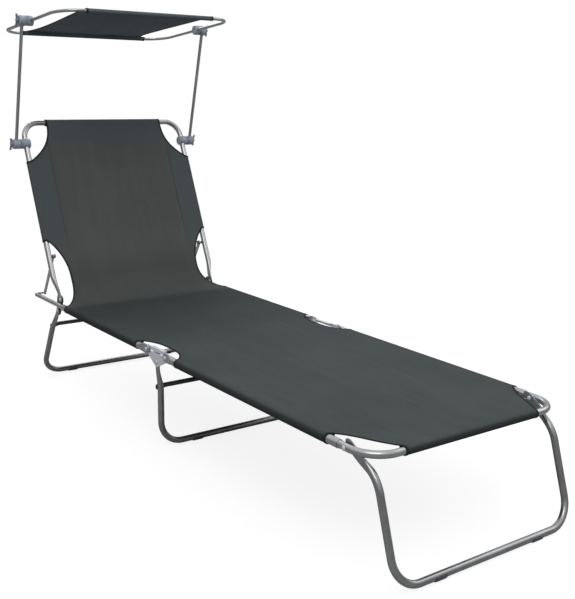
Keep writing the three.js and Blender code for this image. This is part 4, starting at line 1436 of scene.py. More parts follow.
@dataclass(frozen=True)
class Clamp:
    """The two-part plastic clamps of the canopy arms, in millimetres, some from the middle of the lounger."""

    radius: float = 14.6
    split: float = 288.0
    outer: float = 311.0
    edge: float = 3.2
    edge_steps: int = 5
    sides: int = 40
    groove_rim: float = 0.9
    groove_floor: float = 0.5
    groove_depth: float = 0.8
    outer_grooves: tuple[float, ...] = (292.0, 307.5)
    lower_grip: float = 258.0
    lower_grooves: tuple[float, ...] = (262.5, 284.0)
    upper_grip: float = 269.0
    upper_grooves: tuple[float, ...] = (284.0,)
    collar_radius: float = 7.4
    collar_depth: float = 2.0
    collar_rise: float = 0.1
    collar_edge: float = 0.5
    collar_sides: int = 28

    def drum(self, sign: float, low: float, high: float, grooves: Sequence[float]) -> Shape:
        """A clamp half: a drum with rounded edges and shallow grooves.

        Args:
            sign: The side it is on.
            low: Where it starts, from the middle of the lounger.
            high: Where it ends.
            grooves: Where its grooves lie.

        Returns:
            The shape, about its own bolt's axis.
        """
        turns = [math.pi / 2 * k / self.edge_steps for k in range(self.edge_steps + 1)]
        rim, floor = self.radius - self.edge, self.radius - self.groove_depth
        curve = [(rim + self.edge * math.sin(turn), self.edge * (1 - math.cos(turn))) for turn in turns]
        profile = [(0.0, low), *[(radius, low + rise) for radius, rise in curve]]
        for groove in grooves:
            profile += [(self.radius, groove - self.groove_rim), (floor, groove - self.groove_floor)]
            profile += [(floor, groove + self.groove_floor), (self.radius, groove + self.groove_rim)]
        profile += [*[(radius, high - rise) for radius, rise in reversed(curve)], (0.0, high)]
        return Shape().turned([(r, sign * x) for r, x in profile], vec(0, 0, 0), vec(1, 0, 0), self.sides)

    def outer_half(self, sign: float, way: float) -> Shape:
        """The outer half, with the short collar on its rim that the arm enters.

        Args:
            sign: The side it is on.
            way: 1 or -1, the way to the arm.

        Returns:
            The shape, about its own bolt's axis.
        """
        low, high = way * (self.radius - self.collar_depth), way * (self.radius + self.collar_rise)
        rim, wide = self.collar_radius - self.collar_edge, self.collar_radius
        profile = [(0.0, low), (wide, low), (wide, high - way * self.collar_edge), (rim, high), (0.0, high)]
        half = self.drum(sign, self.split, self.outer, self.outer_grooves)
        return half.turned(profile, vec(sign * SIZE.arm_x, 0, 0), vec(0, 1, 0), self.collar_sides)


@dataclass(frozen=True)
class WingKnob:
    """A wing knob: a turned hub with two rounded wings, in millimetres from the clamp's outer face."""

    room: float = 0.3
    hub: Profile = ((0.0, 0.0), (5.6, 0.0), (6.5, 0.8), (6.5, 5.0), (5.9, 6.3), (4.6, 6.9), (0.0, 7.0))
    hub_sides: int = 32
    wing_start: float = 4.0
    wing_length: float = 15.0
    half_width: float = 2.4
    widening: float = 1.5
    half_thick: float = 2.0
    thinning: float = 0.6
    sweep: float = 1.3
    round_share: float = 0.72
    least_share: float = 0.12
    wing_steps: int = 8
    wing_sides: int = 16

    def shape(self, sign: float, face: float) -> Shape:
        """The knob.

        Args:
            sign: The side it is on.
            face: The clamp's outer face, from the middle of the lounger.

        Returns:
            The shape, about its own bolt's axis.
        """
        foot = face + self.room
        profile = [(radius, sign * (foot + rise)) for radius, rise in self.hub]
        shape = Shape().turned(profile, vec(0, 0, 0), vec(1, 0, 0), self.hub_sides)
        for way in (-1.0, 1.0):
            points, faces = skin(self.wing(sign, way, foot + self.hub[-1][1]))
            shape.add(points, [face[::-1] for face in faces] if sign * way > 0 else faces)
        return shape

    def wing(self, sign: float, way: float, tip: float) -> list[list[Point]]:
        """One wing, as rings that get thinner and rounder outward.

        Args:
            sign: The side of the lounger.
            way: The side of the hub.
            tip: The hub's outer end, from the middle of the lounger.

        Returns:
            The rings.
        """
        turns = [2 * math.pi * j / self.wing_sides for j in range(self.wing_sides)]
        rings = []
        for k in range(self.wing_steps + 1):
            share = k / self.wing_steps
            rounded = max(0.0, (share - self.round_share) / (1 - self.round_share))
            end = max(self.least_share, math.sqrt(max(0.0, 1 - rounded**2)))
            wide, thick = self.half_width + self.widening * share, self.half_thick - self.thinning * share
            middle = tip - self.half_width + self.sweep * share
            reach = self.wing_start + self.wing_length * share
            rings.append([
                vec(sign * (middle + wide * end * math.cos(t)), way * reach, thick * end * math.sin(t))
                for t in turns
            ])
        return rings


@dataclass(frozen=True)
class CanopyArms:
    """The arms from the back to the canopy, with their clamps and knobs, in millimetres."""

    radius: float = 4.75
    seat: float = 7.0
    sides: int = 24
    clamp: Clamp = Clamp()
    knob: WingKnob = WingKnob()

    def build(self, dresser: Dresser) -> None:
        """Makes the pieces.

        Args:
            dresser: What makes pieces.
        """
        clamp = self.clamp
        for side, sign in SIDES:
            ends = [vec(sign * SIZE.arm_x, up, 0) for up in (self.seat, SIZE.arm_length - self.seat)]
            tube = Shape().tube(Route.bent(ends), round_tube(self.radius), sides=self.sides).moved(ARMS)
            dresser.piece(f"arm_tube_{side}", tube, Look.TUBE, "canopy_arms", [f"canopy_arm_{side}"])
            for level, up, way in (("lower", 0.0, 1.0), ("upper", SIZE.arm_length, -1.0)):
                place = ARMS.within(up, 0.0, 0.0)
                drum, node = clamp.outer_half(sign, way).moved(place), f"{level}_clamp_outer_{side}"
                dresser.piece(f"{level}_drum_{side}", drum, Look.CLAMP, "canopy_arms", [node])
                knob, node = self.knob.shape(sign, clamp.outer).moved(place), f"{level}_wing_knob_{side}"
                dresser.piece(f"{level}_knob_{side}", knob, Look.KNOB, node, [node])
            for level, start, grooves, place, body in (
                ("lower", clamp.lower_grip, clamp.lower_grooves, ARMS, "back"),
                ("upper", clamp.upper_grip, clamp.upper_grooves, CANOPY, "canopy"),
            ):
                grip = clamp.drum(sign, start, clamp.split - SIZE.gap, grooves).moved(place)
                dresser.piece(f"{level}_grip_{side}", grip, Look.CLAMP, body, [f"{level}_clamp_inner_{side}"])


def scooped(share: float, power: float) -> float:
    """How deep a rounded cut-out is at a share of its run, as a share of its depth."""
    return (1 - (1 - min(1.0, share)) ** 2) ** power


@dataclass(frozen=True)
class DeckCut:
    """The half width of the deck's cloth along the lounger, in millimetres."""

    bar: float = 190.0
    corner_end: float = 125.0
    corner_step_share: float = 0.34
    corner_step_power: float = 6
    corner_power: float = 1.6
    mid_start: float = 699.0
    mid_end: float = 893.0
    mid_cut: float = 34.0
    mid_power: float = 3
    rear_start: float = 1323.0
    rear_run: float = 102.0
    rear_cut: float = 50.6
    rear_power: float = 0.82

    def half(self, y: float) -> float:
        """The cloth's half width.

        Args:
            y: A place along the deck.

        Returns:
            The half width there.
        """
        full = SIZE.half
        if y < self.corner_end:
            u = 1 - max(0.0, y) / self.corner_end
            step = self.corner_step_share * (1 - (1 - u) ** self.corner_step_power)
            share = step + (1 - self.corner_step_share) * u**self.corner_power
            return full - (full - self.bar) * share
        if self.mid_start < y < self.mid_end:
            middle = (self.mid_start + self.mid_end) / 2
            away = abs(y - middle) / (self.mid_end - middle)
            return full - self.mid_cut * (1 - away**self.mid_power)
        if y > self.rear_start:
            return full - self.rear_cut * scooped((y - self.rear_start) / self.rear_run, self.rear_power)
        return full


@dataclass(frozen=True)
class BackCut:
    """The half width of the back's cloth up the back, in millimetres."""

    cut_end: float = 178.0
    cut_run: float = 115.0
    cut_power: float = 0.86
    corner_start: float = 428.0
    corner_power: float = 2.7
    top: float = 197.0

    def half(self, s: float) -> float:
        """The cloth's half width.

        Args:
            s: A place up the back.

        Returns:
            The half width there.
        """
        full = SIZE.half
        if s < self.cut_end:
            return full - DECK_CUT.rear_cut * scooped((self.cut_end - s) / self.cut_run, self.cut_power)
        if s > self.corner_start:
            share = min(1.0, (s - self.corner_start) / (SIZE.back_length - self.corner_start))
            return full - (full - self.top) * (1 - (1 - share) ** self.corner_power)
        return full


DECK_CUT = DeckCut()
BACK_CUT = BackCut()
ROOM = 1.2
WRAP = math.radians(245.0)
SLEEVE_STEPS = 22


def pocket(radius: float, along: float) -> tuple[float, float]:
    """A cloth pocket's profile round a tube.

    Args:
        radius: From the tube's middle to the middle of the cloth.
        along: Distance along the cloth from the tangent at the top.

    Returns:
        How far out and how far up from the tube's middle the cloth is there.
    """
    if along <= radius * WRAP:
        return radius * math.sin(along / radius), radius * math.cos(along / radius)
    rest = along - radius * WRAP
    return radius * math.sin(WRAP) + rest * math.cos(WRAP), radius * math.cos(WRAP) - rest * math.sin(WRAP)


def pocket_length(radius: float) -> float:
    """How much cloth a pocket takes."""
    rise = math.sin(WRAP - math.pi)
    return radius * WRAP + radius * (1 - math.cos(WRAP)) / rise - ROOM / rise


def sleeve_rows(bar: float, radius: float, way: float, steps: int = SLEEVE_STEPS) -> list[float]:
    """Row places of the sleeve's cloth beyond a bar.

    Args:
        bar: The row where the cloth meets the bar.
        radius: From the bar's middle to the middle of the cloth.
        way: 1 or -1, the way that the rows go on.
        steps: How many rows there are.

    Returns:
        The rows, from the bar on.
    """
    reach = way * pocket_length(radius)
    return [bar + reach * k / steps for k in range(1, steps + 1)]


@dataclass(frozen=True)
class RowSpacing:
    """How far apart the rows of a cloth lie, in millimetres, and how fast that grows away from a mark."""

    wide: float = 11.0
    near: float = 1.6
    growth: float = 0.3
    clear_share: float = 0.45

    def rows(self, low: float, high: float, ends: Sequence[float]) -> list[float]:
        """Row places between two limits, closer together near some marks.

        Args:
            low: The first row.
            high: The last row.
            ends: The marks near which rows lie close together.

        Returns:
            The rows.
        """
        rows = [low]
        while rows[-1] < high:
            spots = (rows[-1], rows[-1] + self.near)
            away = min([abs(spot - end) for end in ends for spot in spots], default=math.inf)
            rows.append(rows[-1] + min(self.wide, max(self.near, away * self.growth)))
        rows[-1] = high
        kept = {low, high, *[end for end in ends if low < end < high]}
        clear = self.near * self.clear_share
        return sorted({*kept, *[row for row in rows if all(abs(row - mark) > clear for mark in kept)]})


SPACING = RowSpacing()
CLOSE = RowSpacing(wide=3.0)
EDGE_COLUMNS = (0.0, 2.5, 5.0, 6.2, 9.0)


class Cloth(Shape):
    """A sheet of cloth that is laid out by cloth coordinates, with pockets and bound cut edges."""

    mark_step = 2.0
    far = 1e3
    batch = 2000

    def __init__(self, surface: Callable[[float, float], Point], columns: int = 44) -> None:
        """Starts a cloth.

        Args:
            surface: Gives the place in the lounger's frame from the cloth coordinates.
            columns: Columns between the two bound edges.
        """
        super().__init__()
        self.surface = surface
        self.columns = columns
        self.edges: list[tuple[float, float]] = []
        self.area = 0.0

    def grid(self, rows: Sequence[Sequence[tuple[float, float]]]) -> None:
        """Adds a grid of cloth.

        Args:
            rows: The cloth coordinates, with as many in each row.
        """
        wide = len(rows[0])
        faces = []
        for i in range(len(rows) - 1):
            for k in range(wide - 1):
                a, b = i * wide + k, (i + 1) * wide + k
                faces.append((a, a + 1, b + 1, b))
            breadth = (rows[i][-1][0] - rows[i][0][0] + rows[i + 1][-1][0] - rows[i + 1][0][0]) / 2
            self.area += abs(breadth * (rows[i + 1][0][1] - rows[i][0][1]))
        self.add([self.surface(u, v) for row in rows for u, v in row], faces)
        self.cloth += [uv for row in rows for uv in row]

    def panel(self, rows: Sequence[float], half: Callable[[float], float]) -> None:
        """Adds the flat cloth over some rows, with close columns at its edges.

        Args:
            rows: The rows' places.
            half: Gives the cloth's half width at a row.
        """
        laid = []
        for v in rows:
            reach = half(v)
            inner = reach - EDGE_COLUMNS[-1]
            middle = [inner * (2 * k / self.columns - 1) for k in range(1, self.columns)]
            left = [-(reach - column) for column in EDGE_COLUMNS]
            laid.append([(u, v) for u in [*left, *middle, *[-u for u in reversed(left)]]])
        self.grid(laid)

    def pockets(self, rows: Sequence[float], radius: float) -> None:
        """Adds a pocket at both edges over some rows.

        Args:
            rows: The rows' places.
            radius: From the middle of the tube in the pocket to the middle of the cloth.
        """
        steps = [0.0, *sleeve_rows(0.0, radius, 1.0)]
        self.grid([[(SIZE.half + s, v) for s in steps] for v in rows])
        self.grid([[(-SIZE.half - s, v) for s in reversed(steps)] for v in rows])
        for v in (rows[0], rows[-1]):
            for sign in (-1.0, 1.0):
                self.cut([(sign * (SIZE.half + s), v) for s in steps])

    def cut(self, line: Sequence[tuple[float, float]]) -> None:
        """Notes a cut edge, which is bound.

        Args:
            line: The cloth coordinates along it.
        """
        for (u0, v0), (u1, v1) in zip(line, line[1:]):
            count = max(1, int(math.hypot(u1 - u0, v1 - v0) / self.mark_step))
            self.edges += [(u0 + (u1 - u0) * k / count, v0 + (v1 - v0) * k / count) for k in range(count)]
        self.edges.append(line[-1])

    def cut_sides(self, rows: Sequence[float], half: Callable[[float], float]) -> None:
        """Notes both side edges over some rows as cut."""
        for sign in (-1.0, 1.0):
            self.cut([(sign * half(v), v) for v in rows])

    def finished(self) -> "Cloth":
        """Works out how far each point lies from a cut edge.

        Returns:
            This cloth.
        """
        flat = np.array(self.cloth)
        away = np.full(len(flat), self.far)
        marks = np.array(self.edges)
        for start in range(0, len(flat), self.batch):
            some = slice(start, start + self.batch)
            away[some] = np.linalg.norm(flat[some, None, :] - marks[None, :, :], axis=2).min(1)
        self.hem = list(away)
        return self

    @property
    def flat(self) -> tuple[float, float]:
        """The width and length that the cloth is cut from, in metres."""
        spread = np.ptp(np.array(self.cloth), axis=0) * MM
        return float(spread[0]), float(spread[1])


@dataclass(frozen=True)
class Ripple:
    """Slight waves in a stretched cloth: long ones that wander, and short ones, in millimetres."""

    across: float
    wander: float
    wander_run: float
    run: float
    phase: float
    short_share: float
    short_across: float
    short_run: float

    def height(self, u: float, v: float) -> float:
        """The waves' height, where the long ones are one high.

        Args:
            u: The cloth coordinate across.
            v: The cloth coordinate along.

        Returns:
            The height there.
        """
        long = math.sin(u / self.across + self.wander * math.sin(v / self.wander_run))
        short = math.sin(u / self.short_across + v / self.short_run)
        return long * math.sin(v / self.run + self.phase) + self.short_share * short


DECK_RIPPLE = Ripple(
    across=29.0, wander=1.3, wander_run=170.0, run=210.0, phase=0.6,
    short_share=0.6, short_across=17.0, short_run=-260.0,
)
BACK_RIPPLE = Ripple(
    across=33.0, wander=1.0, wander_run=120.0, run=160.0, phase=0.0,
    short_share=0.5, short_across=15.0, short_run=300.0,
)
BACK_TURN = math.radians(SIZE.back_angle)
IN_POCKET = SIZE.half + 1e-6


@dataclass(frozen=True)
class Deck:
    """The deck's cloth: where its middle lies, and how it sags and wavers. Millimetres."""

    sag: float = 5.0
    ease: float = 60.0
    waver: float = 0.45
    crease_bend: float = 117.0
    split_share: float = 0.69
    hold: float = 60.0
    side_ease: float = 45.0
    pocket_ease: float = 22.0

    @property
    def height(self) -> float:
        """Height of the cloth over the rails."""
        return SIZE.rail_height + SIZE.rail_radius + ROOM

    @property
    def crease(self) -> float:
        """Where the deck's and the back's cloth would meet if the crease were sharp."""
        low = BACK.points([vec(0, 0, SIZE.tube_radius + ROOM)])[0]
        return float(low[1] + (self.height - low[2]) / math.tan(BACK_TURN))

    @property
    def bend_start(self) -> float:
        """Where along the deck the crease's bend starts."""
        return self.crease - self.crease_bend * math.tan(BACK_TURN / 2)

    @property
    def bend_length(self) -> float:
        """The cloth's length round the crease's bend."""
        return self.crease_bend * BACK_TURN

    @property
    def split(self) -> float:
        """Where in the crease's bend the deck's cloth is parted from the back's."""
        return self.bend_start + self.bend_length * self.split_share

    @property
    def back_start(self) -> float:
        """How far up the back the crease's bend ends.

        Returns:
            The cloth coordinate there.
        """
        low = BACK.points([vec(0, 0, SIZE.tube_radius + ROOM)])[0]
        corner = (self.height - low[2]) / math.sin(BACK_TURN)
        return float(corner + self.crease_bend * math.tan(BACK_TURN / 2))

    def surface(self, u: float, v: float) -> Point:
        """The cloth's place on the deck, its pockets and the foot bar.

        Args:
            u: The cloth coordinate across.
            v: The cloth coordinate along, from the foot bar.

        Returns:
            The place in the lounger's frame.
        """
        if v < 0:
            out, up = pocket(SIZE.tube_radius + ROOM, -v)
            return vec(u, -out, SIZE.rail_height + up)
        if abs(u) > IN_POCKET:
            out, up = pocket(SIZE.rail_radius + ROOM, abs(u) - SIZE.half)
            return vec(math.copysign(SIZE.half + out, u), v, SIZE.rail_height + up)
        eased = smooth(v / self.ease)
        drop = (SIZE.rail_radius - SIZE.tube_radius) * (1 - eased)
        hollow = 1 - (u / SIZE.half) ** 2
        held = 1 - smooth((v - self.bend_start + self.hold) / self.hold)
        low = (self.sag * hollow + self.waver * DECK_RIPPLE.height(u, v) * hollow) * eased * held
        flat = vec(u, v, self.height - drop - low)
        if v <= self.bend_start:
            return flat
        angle = (v - self.bend_start) / self.crease_bend
        y = self.bend_start + self.crease_bend * math.sin(angle)
        bent = vec(u, y, self.height + self.crease_bend * (1 - math.cos(angle)))
        at_side = smooth(1 - (SIZE.half - abs(u)) / self.side_ease)
        return bent + (flat - bent) * at_side * (1 - smooth((v - DECK_CUT.rear_start) / self.pocket_ease))


DECK = Deck()


@dataclass(frozen=True)
class BackCloth:
    """The back's cloth, from the crease's bend up and over the top bar. Millimetres."""

    sag: float = 8.0
    waver: float = 0.5
    ease: float = 150.0

    def surface(self, u: float, s: float) -> Point:
        """The cloth's place on the back, its pockets and the crease.

        Args:
            u: The cloth coordinate across.
            s: The cloth coordinate up the back, from the hinge pins.

        Returns:
            The place in the lounger's frame.
        """
        radius = SIZE.tube_radius + ROOM
        if s < DECK.back_start:
            return DECK.surface(u, self.on_deck(s))
        if s > SIZE.back_length:
            out, up = pocket(radius, s - SIZE.back_length)
            return BACK.points([vec(u, SIZE.back_length + out, up)])[0]
        if abs(u) > IN_POCKET:
            out, up = pocket(radius, abs(u) - SIZE.half)
            return BACK.points([vec(math.copysign(SIZE.half + out, u), s, up)])[0]
        hollow = 1 - (u / SIZE.half) ** 2
        held = smooth((s - DECK.back_start) / self.ease) * smooth((SIZE.back_length - s) / self.ease)
        low = (self.sag + self.waver * BACK_RIPPLE.height(u, s)) * hollow * held
        return BACK.points([vec(u, s, radius - low)])[0]

    @staticmethod
    def on_deck(s: float) -> float:
        """The deck's cloth coordinate of a place in the crease's bend."""
        return DECK.bend_start + DECK.bend_length - (DECK.back_start - s)

    def half(self, s: float) -> float:
        """The cloth's half width up the back."""
        return DECK_CUT.half(self.on_deck(s)) if s < DECK.back_start else BACK_CUT.half(s)

    @property
    def start(self) -> float:
        """The cloth coordinate where the back's cloth starts in the crease's bend."""
        return DECK.back_start - DECK.bend_length * (1 - DECK.split_share)


BACK_CLOTH = BackCloth()


@dataclass(frozen=True)
class Canopy:
    """The canopy's ring and the shape of its cloth, in millimetres."""

    half_width: float = 277.0
    front: float = 215.0
    rear: float = 228.0
    bend: float = 70.0
    radius: float = 4.75
    sides: int = 24
    front_half: float = 203.0
    rear_half: float = 211.0
    cut: float = 60.0
    cut_rise_power: float = 0.35
    cut_fall_power: float = 1.5
    sag: float = 3.0
    slack_half: float = 230.0
    waver: float = 0.5
    wave_run: float = 21.0

    def share(self, t: float) -> float:
        """How far along the cloth t lies, from the rear bar to the front bar."""
        return min(1.0, max(0.0, (t + self.rear) / (self.front + self.rear)))

    def half(self, t: float) -> float:
        """The cloth's half width.

        Args:
            t: The cloth coordinate along, from the middle to the front.

        Returns:
            The half width there.
        """
        share = self.share(t)
        straight = self.rear_half + (self.front_half - self.rear_half) * share
        return straight - self.cut * share**self.cut_rise_power * (1 - share) ** self.cut_fall_power

    def surface(self, u: float, t: float) -> Point:
        """The cloth's place between the bars and round them.

        Args:
            u: The cloth coordinate across.
            t: The cloth coordinate along, from the middle to the front.

        Returns:
            The place in the lounger's frame.
        """
        radius = self.radius + ROOM
        if t > self.front:
            out, up = pocket(radius, t - self.front)
            return CANOPY.points([vec(u, -(self.front + out), up)])[0]
        if t < -self.rear:
            out, up = pocket(radius, -self.rear - t)
            return CANOPY.points([vec(u, self.rear + out, up)])[0]
        share = self.share(t)
        hollow = 4 * share * (1 - share)
        wave = self.waver * math.sin(u / self.wave_run + 2 * share) * math.sqrt(math.sin(math.pi * share))
        low = self.sag * hollow * (1 - (u / self.slack_half) ** 2) + wave
        return CANOPY.points([vec(u, -t, radius - low)])[0]

    def build(self, dresser: Dresser) -> None:
        """Makes the ring.

        Args:
            dresser: What makes pieces.
        """
        half, front, rear = self.half_width, -self.front, self.rear
        corners = [vec(-half, front, 0), vec(half, front, 0), vec(half, rear, 0), vec(-half, rear, 0)]
        route = Route.bent(corners, [self.bend] * 4, closed=True)
        ring = Shape().tube(route, round_tube(self.radius), vec(0, 0, 1), self.sides, True)
        dresser.piece("canopy_ring", ring.moved(CANOPY), Look.TUBE, "canopy", ["canopy_frame"])


RING = Canopy()


def row_place(place: Point) -> Vector:
    """A place of the lounger's frame in the row frame."""
    return Vector((place + vec(0, FOOT_BAR_Y, 0)) * MM)


@dataclass(frozen=True)
class Cloths:
    """The cloth of deck, back and canopy, in millimetres. The sling's parts share their borders."""

    dresser: Dresser
    thickness: float = 1.9
    thin_share: float = 0.5
    bound_width: float = 5.4
    weld_reach: float = 0.02
    sharp: float = 60.0
    middle: float = 802.5
    rear_seam: float = 1330.0
    hinge_reach: float = 20.0
    crease_room: float = 3.0
    back_hold: float = 120.0
    canopy_columns: int = 36
    canopy_steps: int = 18

    def sheet(
        self, name: str, cloth: Cloth, look: Look, nodes: Sequence[str]
    ) -> bpy.types.Object:
        """Makes one sheet.

        Args:
            name: Its name.
            cloth: Its layout.
            look: Its finish.
            nodes: The CAD nodes that it stands for.

        Returns:
            The sheet, which rides on nothing yet.
        """
        made = self.dresser.finish(cloth.finished().make(name, sharp=self.sharp), look)
        self.weld(made)
        self.thicken(made)
        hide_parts(*nodes)
        (width, length), area = cloth.flat, cloth.area * MM**2
        min(area, width * length)
        LOG.info("%s is cut from %.0f x %.0f mm, %.3f square metres", name, width / MM, length / MM, area)
        return made

    def weld(self, made: bpy.types.Object) -> None:
        """Joins the points that the panel and its pockets share.

        Args:
            made: The sheet.
        """
        mesh = bmesh.new()
        mesh.from_mesh(made.data)
        bmesh.ops.remove_doubles(mesh, verts=mesh.verts, dist=self.weld_reach * MM)
        mesh.to_mesh(made.data)
        mesh.free()

    def thicken(self, made: bpy.types.Object) -> None:
        """Gives the cloth its thickness, with more at the bound edges.

        Args:
            made: The sheet.
        """
        hem = np.zeros(len(made.data.vertices), np.float32)
        made.data.attributes["hem"].data.foreach_get("value", hem)
        group = made.vertex_groups.new(name="bound")
        for i in np.flatnonzero(hem < self.bound_width * MM):
            group.add([int(i)], 1.0, "REPLACE")
        solid = made.modifiers.new("thickness", "SOLIDIFY")
        solid.thickness = self.thickness * MM
        solid.offset = 0.0
        solid.vertex_group = group.name
        solid.thickness_vertex_group = self.thin_share
        whole = bpy.data.meshes.new_from_object(made.evaluated_get(bpy.context.evaluated_depsgraph_get()))
        made.modifiers.clear()
        made.data = whole
        whole.set_sharp_from_angle(angle=math.radians(self.sharp))

    def over_hinge(self, made: bpy.types.Object, pin: float) -> None:
        """Bakes a sheet's place into its mesh; places on both sides of a pin of the middle hinge are worked
        out, but nothing uses them.

        Args:
            made: The sheet.
            pin: The pin's place along the lounger.
        """
        ends = (pin - self.hinge_reach, pin + self.hinge_reach)
        near, far = (row_place(vec(0, y, SIZE.rail_height)) for y in ends)
        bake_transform(made)

    def build(self) -> None:
        """Makes the sheets."""
        self.foot()
        self.seat()
        self.crease()
        self.back()
        self.canopy()

    def foot(self) -> None:
        """The foot end's cloth, up to the middle of the folding plates."""
        corner, cut = DECK_CUT.corner_end, DECK_CUT.mid_start
        cloth = Cloth(DECK.surface)
        sleeve = sleeve_rows(0.0, SIZE.tube_radius + ROOM, -1.0)
        rows = [*reversed(sleeve), *SPACING.rows(0, self.middle, (0, corner, cut))]
        cloth.panel(rows, DECK_CUT.half)
        cloth.cut_sides([v for v in rows if v <= corner], DECK_CUT.half)
        cloth.cut_sides([v for v in rows if v >= cut], DECK_CUT.half)
        cloth.pockets([v for v in rows if corner <= v <= cut], SIZE.rail_radius + ROOM)
        made = self.sheet("sling_foot_cloth", cloth, Look.SLING, ["foot_sling", "mid_sling"])
        self.over_hinge(made, SIZE.foot_pin)

    def seat(self) -> None:
        """The seat's cloth, from the middle of the folding plates nearly to the crease."""
        first, last = DECK_CUT.mid_end, DECK_CUT.rear_start
        cloth = Cloth(DECK.surface)
        rows = SPACING.rows(self.middle, self.rear_seam, (first, last))
        cloth.panel(rows, DECK_CUT.half)
        cloth.cut_sides([v for v in rows if v <= first], DECK_CUT.half)
        cloth.cut_sides([v for v in rows if v >= last], DECK_CUT.half)
        cloth.pockets([v for v in rows if first <= v <= last], SIZE.rail_radius + ROOM)
        made = self.sheet("sling_seat_cloth", cloth, Look.SLING, [])
        self.over_hinge(made, SIZE.seat_pin)

    def crease(self) -> None:
        """The cloth from the seat into the crease between deck and back."""
        cloth = Cloth(BACK_CLOTH.surface)
        rows = CLOSE.rows(self.rear_seam - BACK_CLOTH.on_deck(0), BACK_CLOTH.start, ())
        cloth.panel(rows, BACK_CLOTH.half)
        cloth.cut_sides(rows, BACK_CLOTH.half)
        made = self.sheet("sling_crease_cloth", cloth, Look.BACK_SLING, ["seat_sling"])
        ends = (self.rear_seam + self.crease_room, DECK.split - self.crease_room)
        near, far = (row_place(DECK.surface(0, v)) for v in ends)
        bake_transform(made)

    def back(self) -> None:
        """The back's cloth, from the crease over the top bar."""
        start, first, last, top = BACK_CLOTH.start, BACK_CUT.cut_end, BACK_CUT.corner_start, SIZE.back_length
        cloth = Cloth(BACK_CLOTH.surface)
        bend = CLOSE.rows(start, DECK.back_start, ())
        straight = SPACING.rows(DECK.back_start, top, (first, last, top))
        rows = [*bend, *straight[1:], *sleeve_rows(top, SIZE.tube_radius + ROOM, 1.0)]
        cloth.panel(rows, BACK_CLOTH.half)
        cloth.cut_sides([s for s in rows if s <= first], BACK_CLOTH.half)
        cloth.cut_sides([s for s in rows if s >= last], BACK_CLOTH.half)
        cloth.pockets([s for s in rows if first <= s <= last], SIZE.tube_radius + ROOM)
        made = self.sheet("sling_back_cloth", cloth, Look.BACK_SLING, ["back_sling"])
        near, far = (row_place(BACK_CLOTH.surface(0, s)) for s in (start + self.crease_room, self.back_hold))
        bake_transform(made)

    def canopy(self) -> None:
        """The canopy's cloth, over both bars of the ring."""
        front, rear, radius = RING.front, -RING.rear, RING.radius + ROOM
        cloth = Cloth(RING.surface, self.canopy_columns)
        over_rear = sleeve_rows(rear, radius, -1.0, self.canopy_steps)
        over_front = sleeve_rows(front, radius, 1.0, self.canopy_steps)
        rows = [*reversed(over_rear), *SPACING.rows(rear, front, (rear, front)), *over_front]
        cloth.panel(rows, RING.half)
        cloth.cut_sides(rows, RING.half)
        made = self.sheet("canopy_sheet", cloth, Look.CANOPY, ["canopy_cloth"])
        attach(made, "canopy")


@dataclass(frozen=True)
class Lamp:
    """A soft square lamp that faces the lounger: its place and size in metres, and its power in watts."""

    name: str
    place: tuple[float, float, float]
    size: float
    power: float
    aim: tuple[float, float, float] = (0.0, 0.0, 0.3)

    def build(self) -> None:
        """Makes the lamp."""
        light = bpy.data.lights.new(self.name, "AREA")
        light.shape = "SQUARE"
        light.size = self.size
        light.energy = self.power
        made = bpy.data.objects.new(self.name, light)
        made.location = self.place
        made.rotation_euler = (Vector(self.aim) - Vector(self.place)).to_track_quat("-Z", "Y").to_euler()
        bpy.context.scene.collection.objects.link(made)


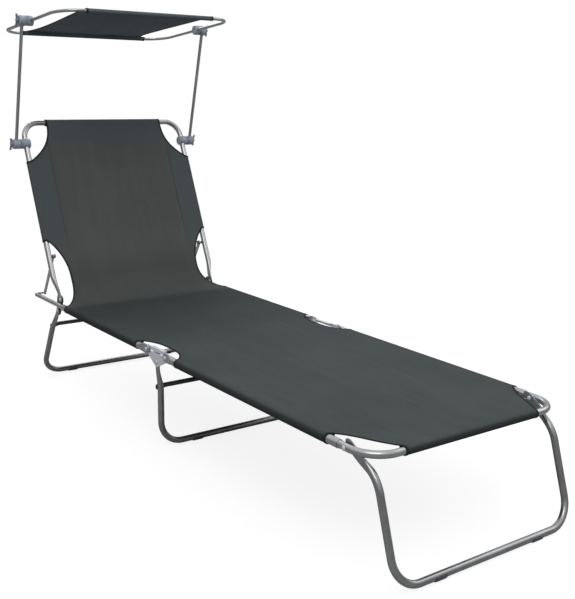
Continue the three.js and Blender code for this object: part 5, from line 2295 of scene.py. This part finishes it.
@dataclass(frozen=True)
class Studio:
    """The floor, the light and the camera of the photo. The eye's place is in millimetres."""

    eye: tuple[float, float, float] = (-1392.9, -1211.9, 936.7)
    yaw: float = -37.16
    pitch: float = -13.27
    roll: float = 1.60
    lens: float = 57.74
    sensor: float = 36.0
    sight: tuple[float, float] = (0.05, 200.0)
    low_sky: float = 0.17
    high_sky: float = 1.4
    sky_from: float = -0.05
    sky_to: float = 0.75
    floor_reach: float = 30000.0
    floor_drop: float = 0.5
    floor_clouds: float = 0.8
    floor_roughness: float = 0.9
    floor_shine: float = 0.1
    unseen_grey: float = 0.32
    pale_grey: float = 0.9
    light_grey: float = 0.93
    white_from: float = 1.2
    white_to: float = 3.0
    least_white: float = 0.85
    lamps: tuple[Lamp, ...] = (
        Lamp("key", (-1.6, -2.2, 3.4), 2.2, 62.0),
        Lamp("fill", (2.6, -1.0, 2.2), 2.0, 24.0),
        Lamp("rim", (0.8, 3.0, 2.6), 1.8, 26.0),
    )

    def build(self) -> None:
        """Makes the stage."""
        self.floor()
        self.sky()
        for lamp in self.lamps:
            lamp.build()
        self.camera()

    def floor(self) -> None:
        """A large pale floor, which turns white away from the lounger."""
        far, shape = self.floor_reach, Shape()
        corners = ((-far, -far), (far, -far), (far, far), (-far, far))
        shape.add([vec(x, y, 0) for x, y in corners], [(0, 1, 2, 3)])
        made = shape.make("floor")
        made.location.z = -self.floor_drop * MM
        graph = Paint("floor_paint")
        cloudy = graph.noise(self.floor_clouds, 3.0)
        unseen, low, high = ((grey,) * 3 for grey in (self.unseen_grey, self.pale_grey, self.light_grey))
        seen = graph.node("ShaderNodeLightPath", {}, output="Is Camera Ray")
        graph.set(
            Base_Color=graph.blend(seen, unseen, graph.blend(cloudy, low, high)),
            Roughness=self.floor_roughness,
            Specular_IOR_Level=self.floor_shine,
        )
        graph.fade_to_white(self.white_from, self.white_to, self.least_white)
        made.data.materials.append(graph.material)

    def sky(self) -> None:
        """White for the camera, and soft light for everything else, stronger from above."""
        world = bpy.data.worlds.new("studio")
        bpy.context.scene.world = world
        world.use_nodes = True
        graph = Graph(world.node_tree)
        background = graph.nodes["Background"].inputs
        up = graph.split(graph.node("ShaderNodeTexCoord", {}, output="Generated"))[2]
        eased = {"interpolation_type": "SMOOTHSTEP"}
        soft = graph.node(
            "ShaderNodeMapRange", eased, up, self.sky_from, self.sky_to, self.low_sky, self.high_sky
        )
        seen = graph.node("ShaderNodeLightPath", {}, output="Is Camera Ray")
        graph.connect(background["Color"], (1.0, 1.0, 1.0))
        graph.connect(background["Strength"], graph.node("ShaderNodeMix", {}, seen, soft, 1.0))

    def camera(self) -> None:
        """The camera, as fitted to the photo."""
        yaw, pitch, roll = (math.radians(angle) for angle in (self.yaw, self.pitch, self.roll))
        ahead = vec(-math.sin(yaw) * math.cos(pitch), math.cos(yaw) * math.cos(pitch), math.sin(pitch))
        right = vec(math.cos(yaw), math.sin(yaw), 0)
        up = np.cross(right, ahead)
        turned_right = right * math.cos(roll) + up * math.sin(roll)
        turned_up = up * math.cos(roll) - right * math.sin(roll)
        data = bpy.data.cameras.new("photo")
        data.sensor_width = self.sensor
        data.lens = self.lens
        data.clip_start, data.clip_end = self.sight
        made = bpy.data.objects.new("photo_camera", data)
        turn = Matrix([Vector(v) for v in (turned_right, turned_up, -ahead)]).transposed()
        made.matrix_world = Matrix.Translation(row_place(vec(*self.eye))) @ turn.to_4x4()
        bpy.context.scene.collection.objects.link(made)
        bpy.context.scene.camera = made


def main() -> None:
    """Builds everything."""
    logging.basicConfig(level=logging.INFO)
    bpy.context.scene.view_settings.view_transform = "Standard"
    dresser = Dresser()
    for part in (FootSection(), *LEGS, MidHinge(), SeatSection(), BackRest(), CanopyArms(), RING):
        part.build(dresser)
    Cloths(dresser).build()
    Studio().build()


if __name__ == "__main__":
    main()
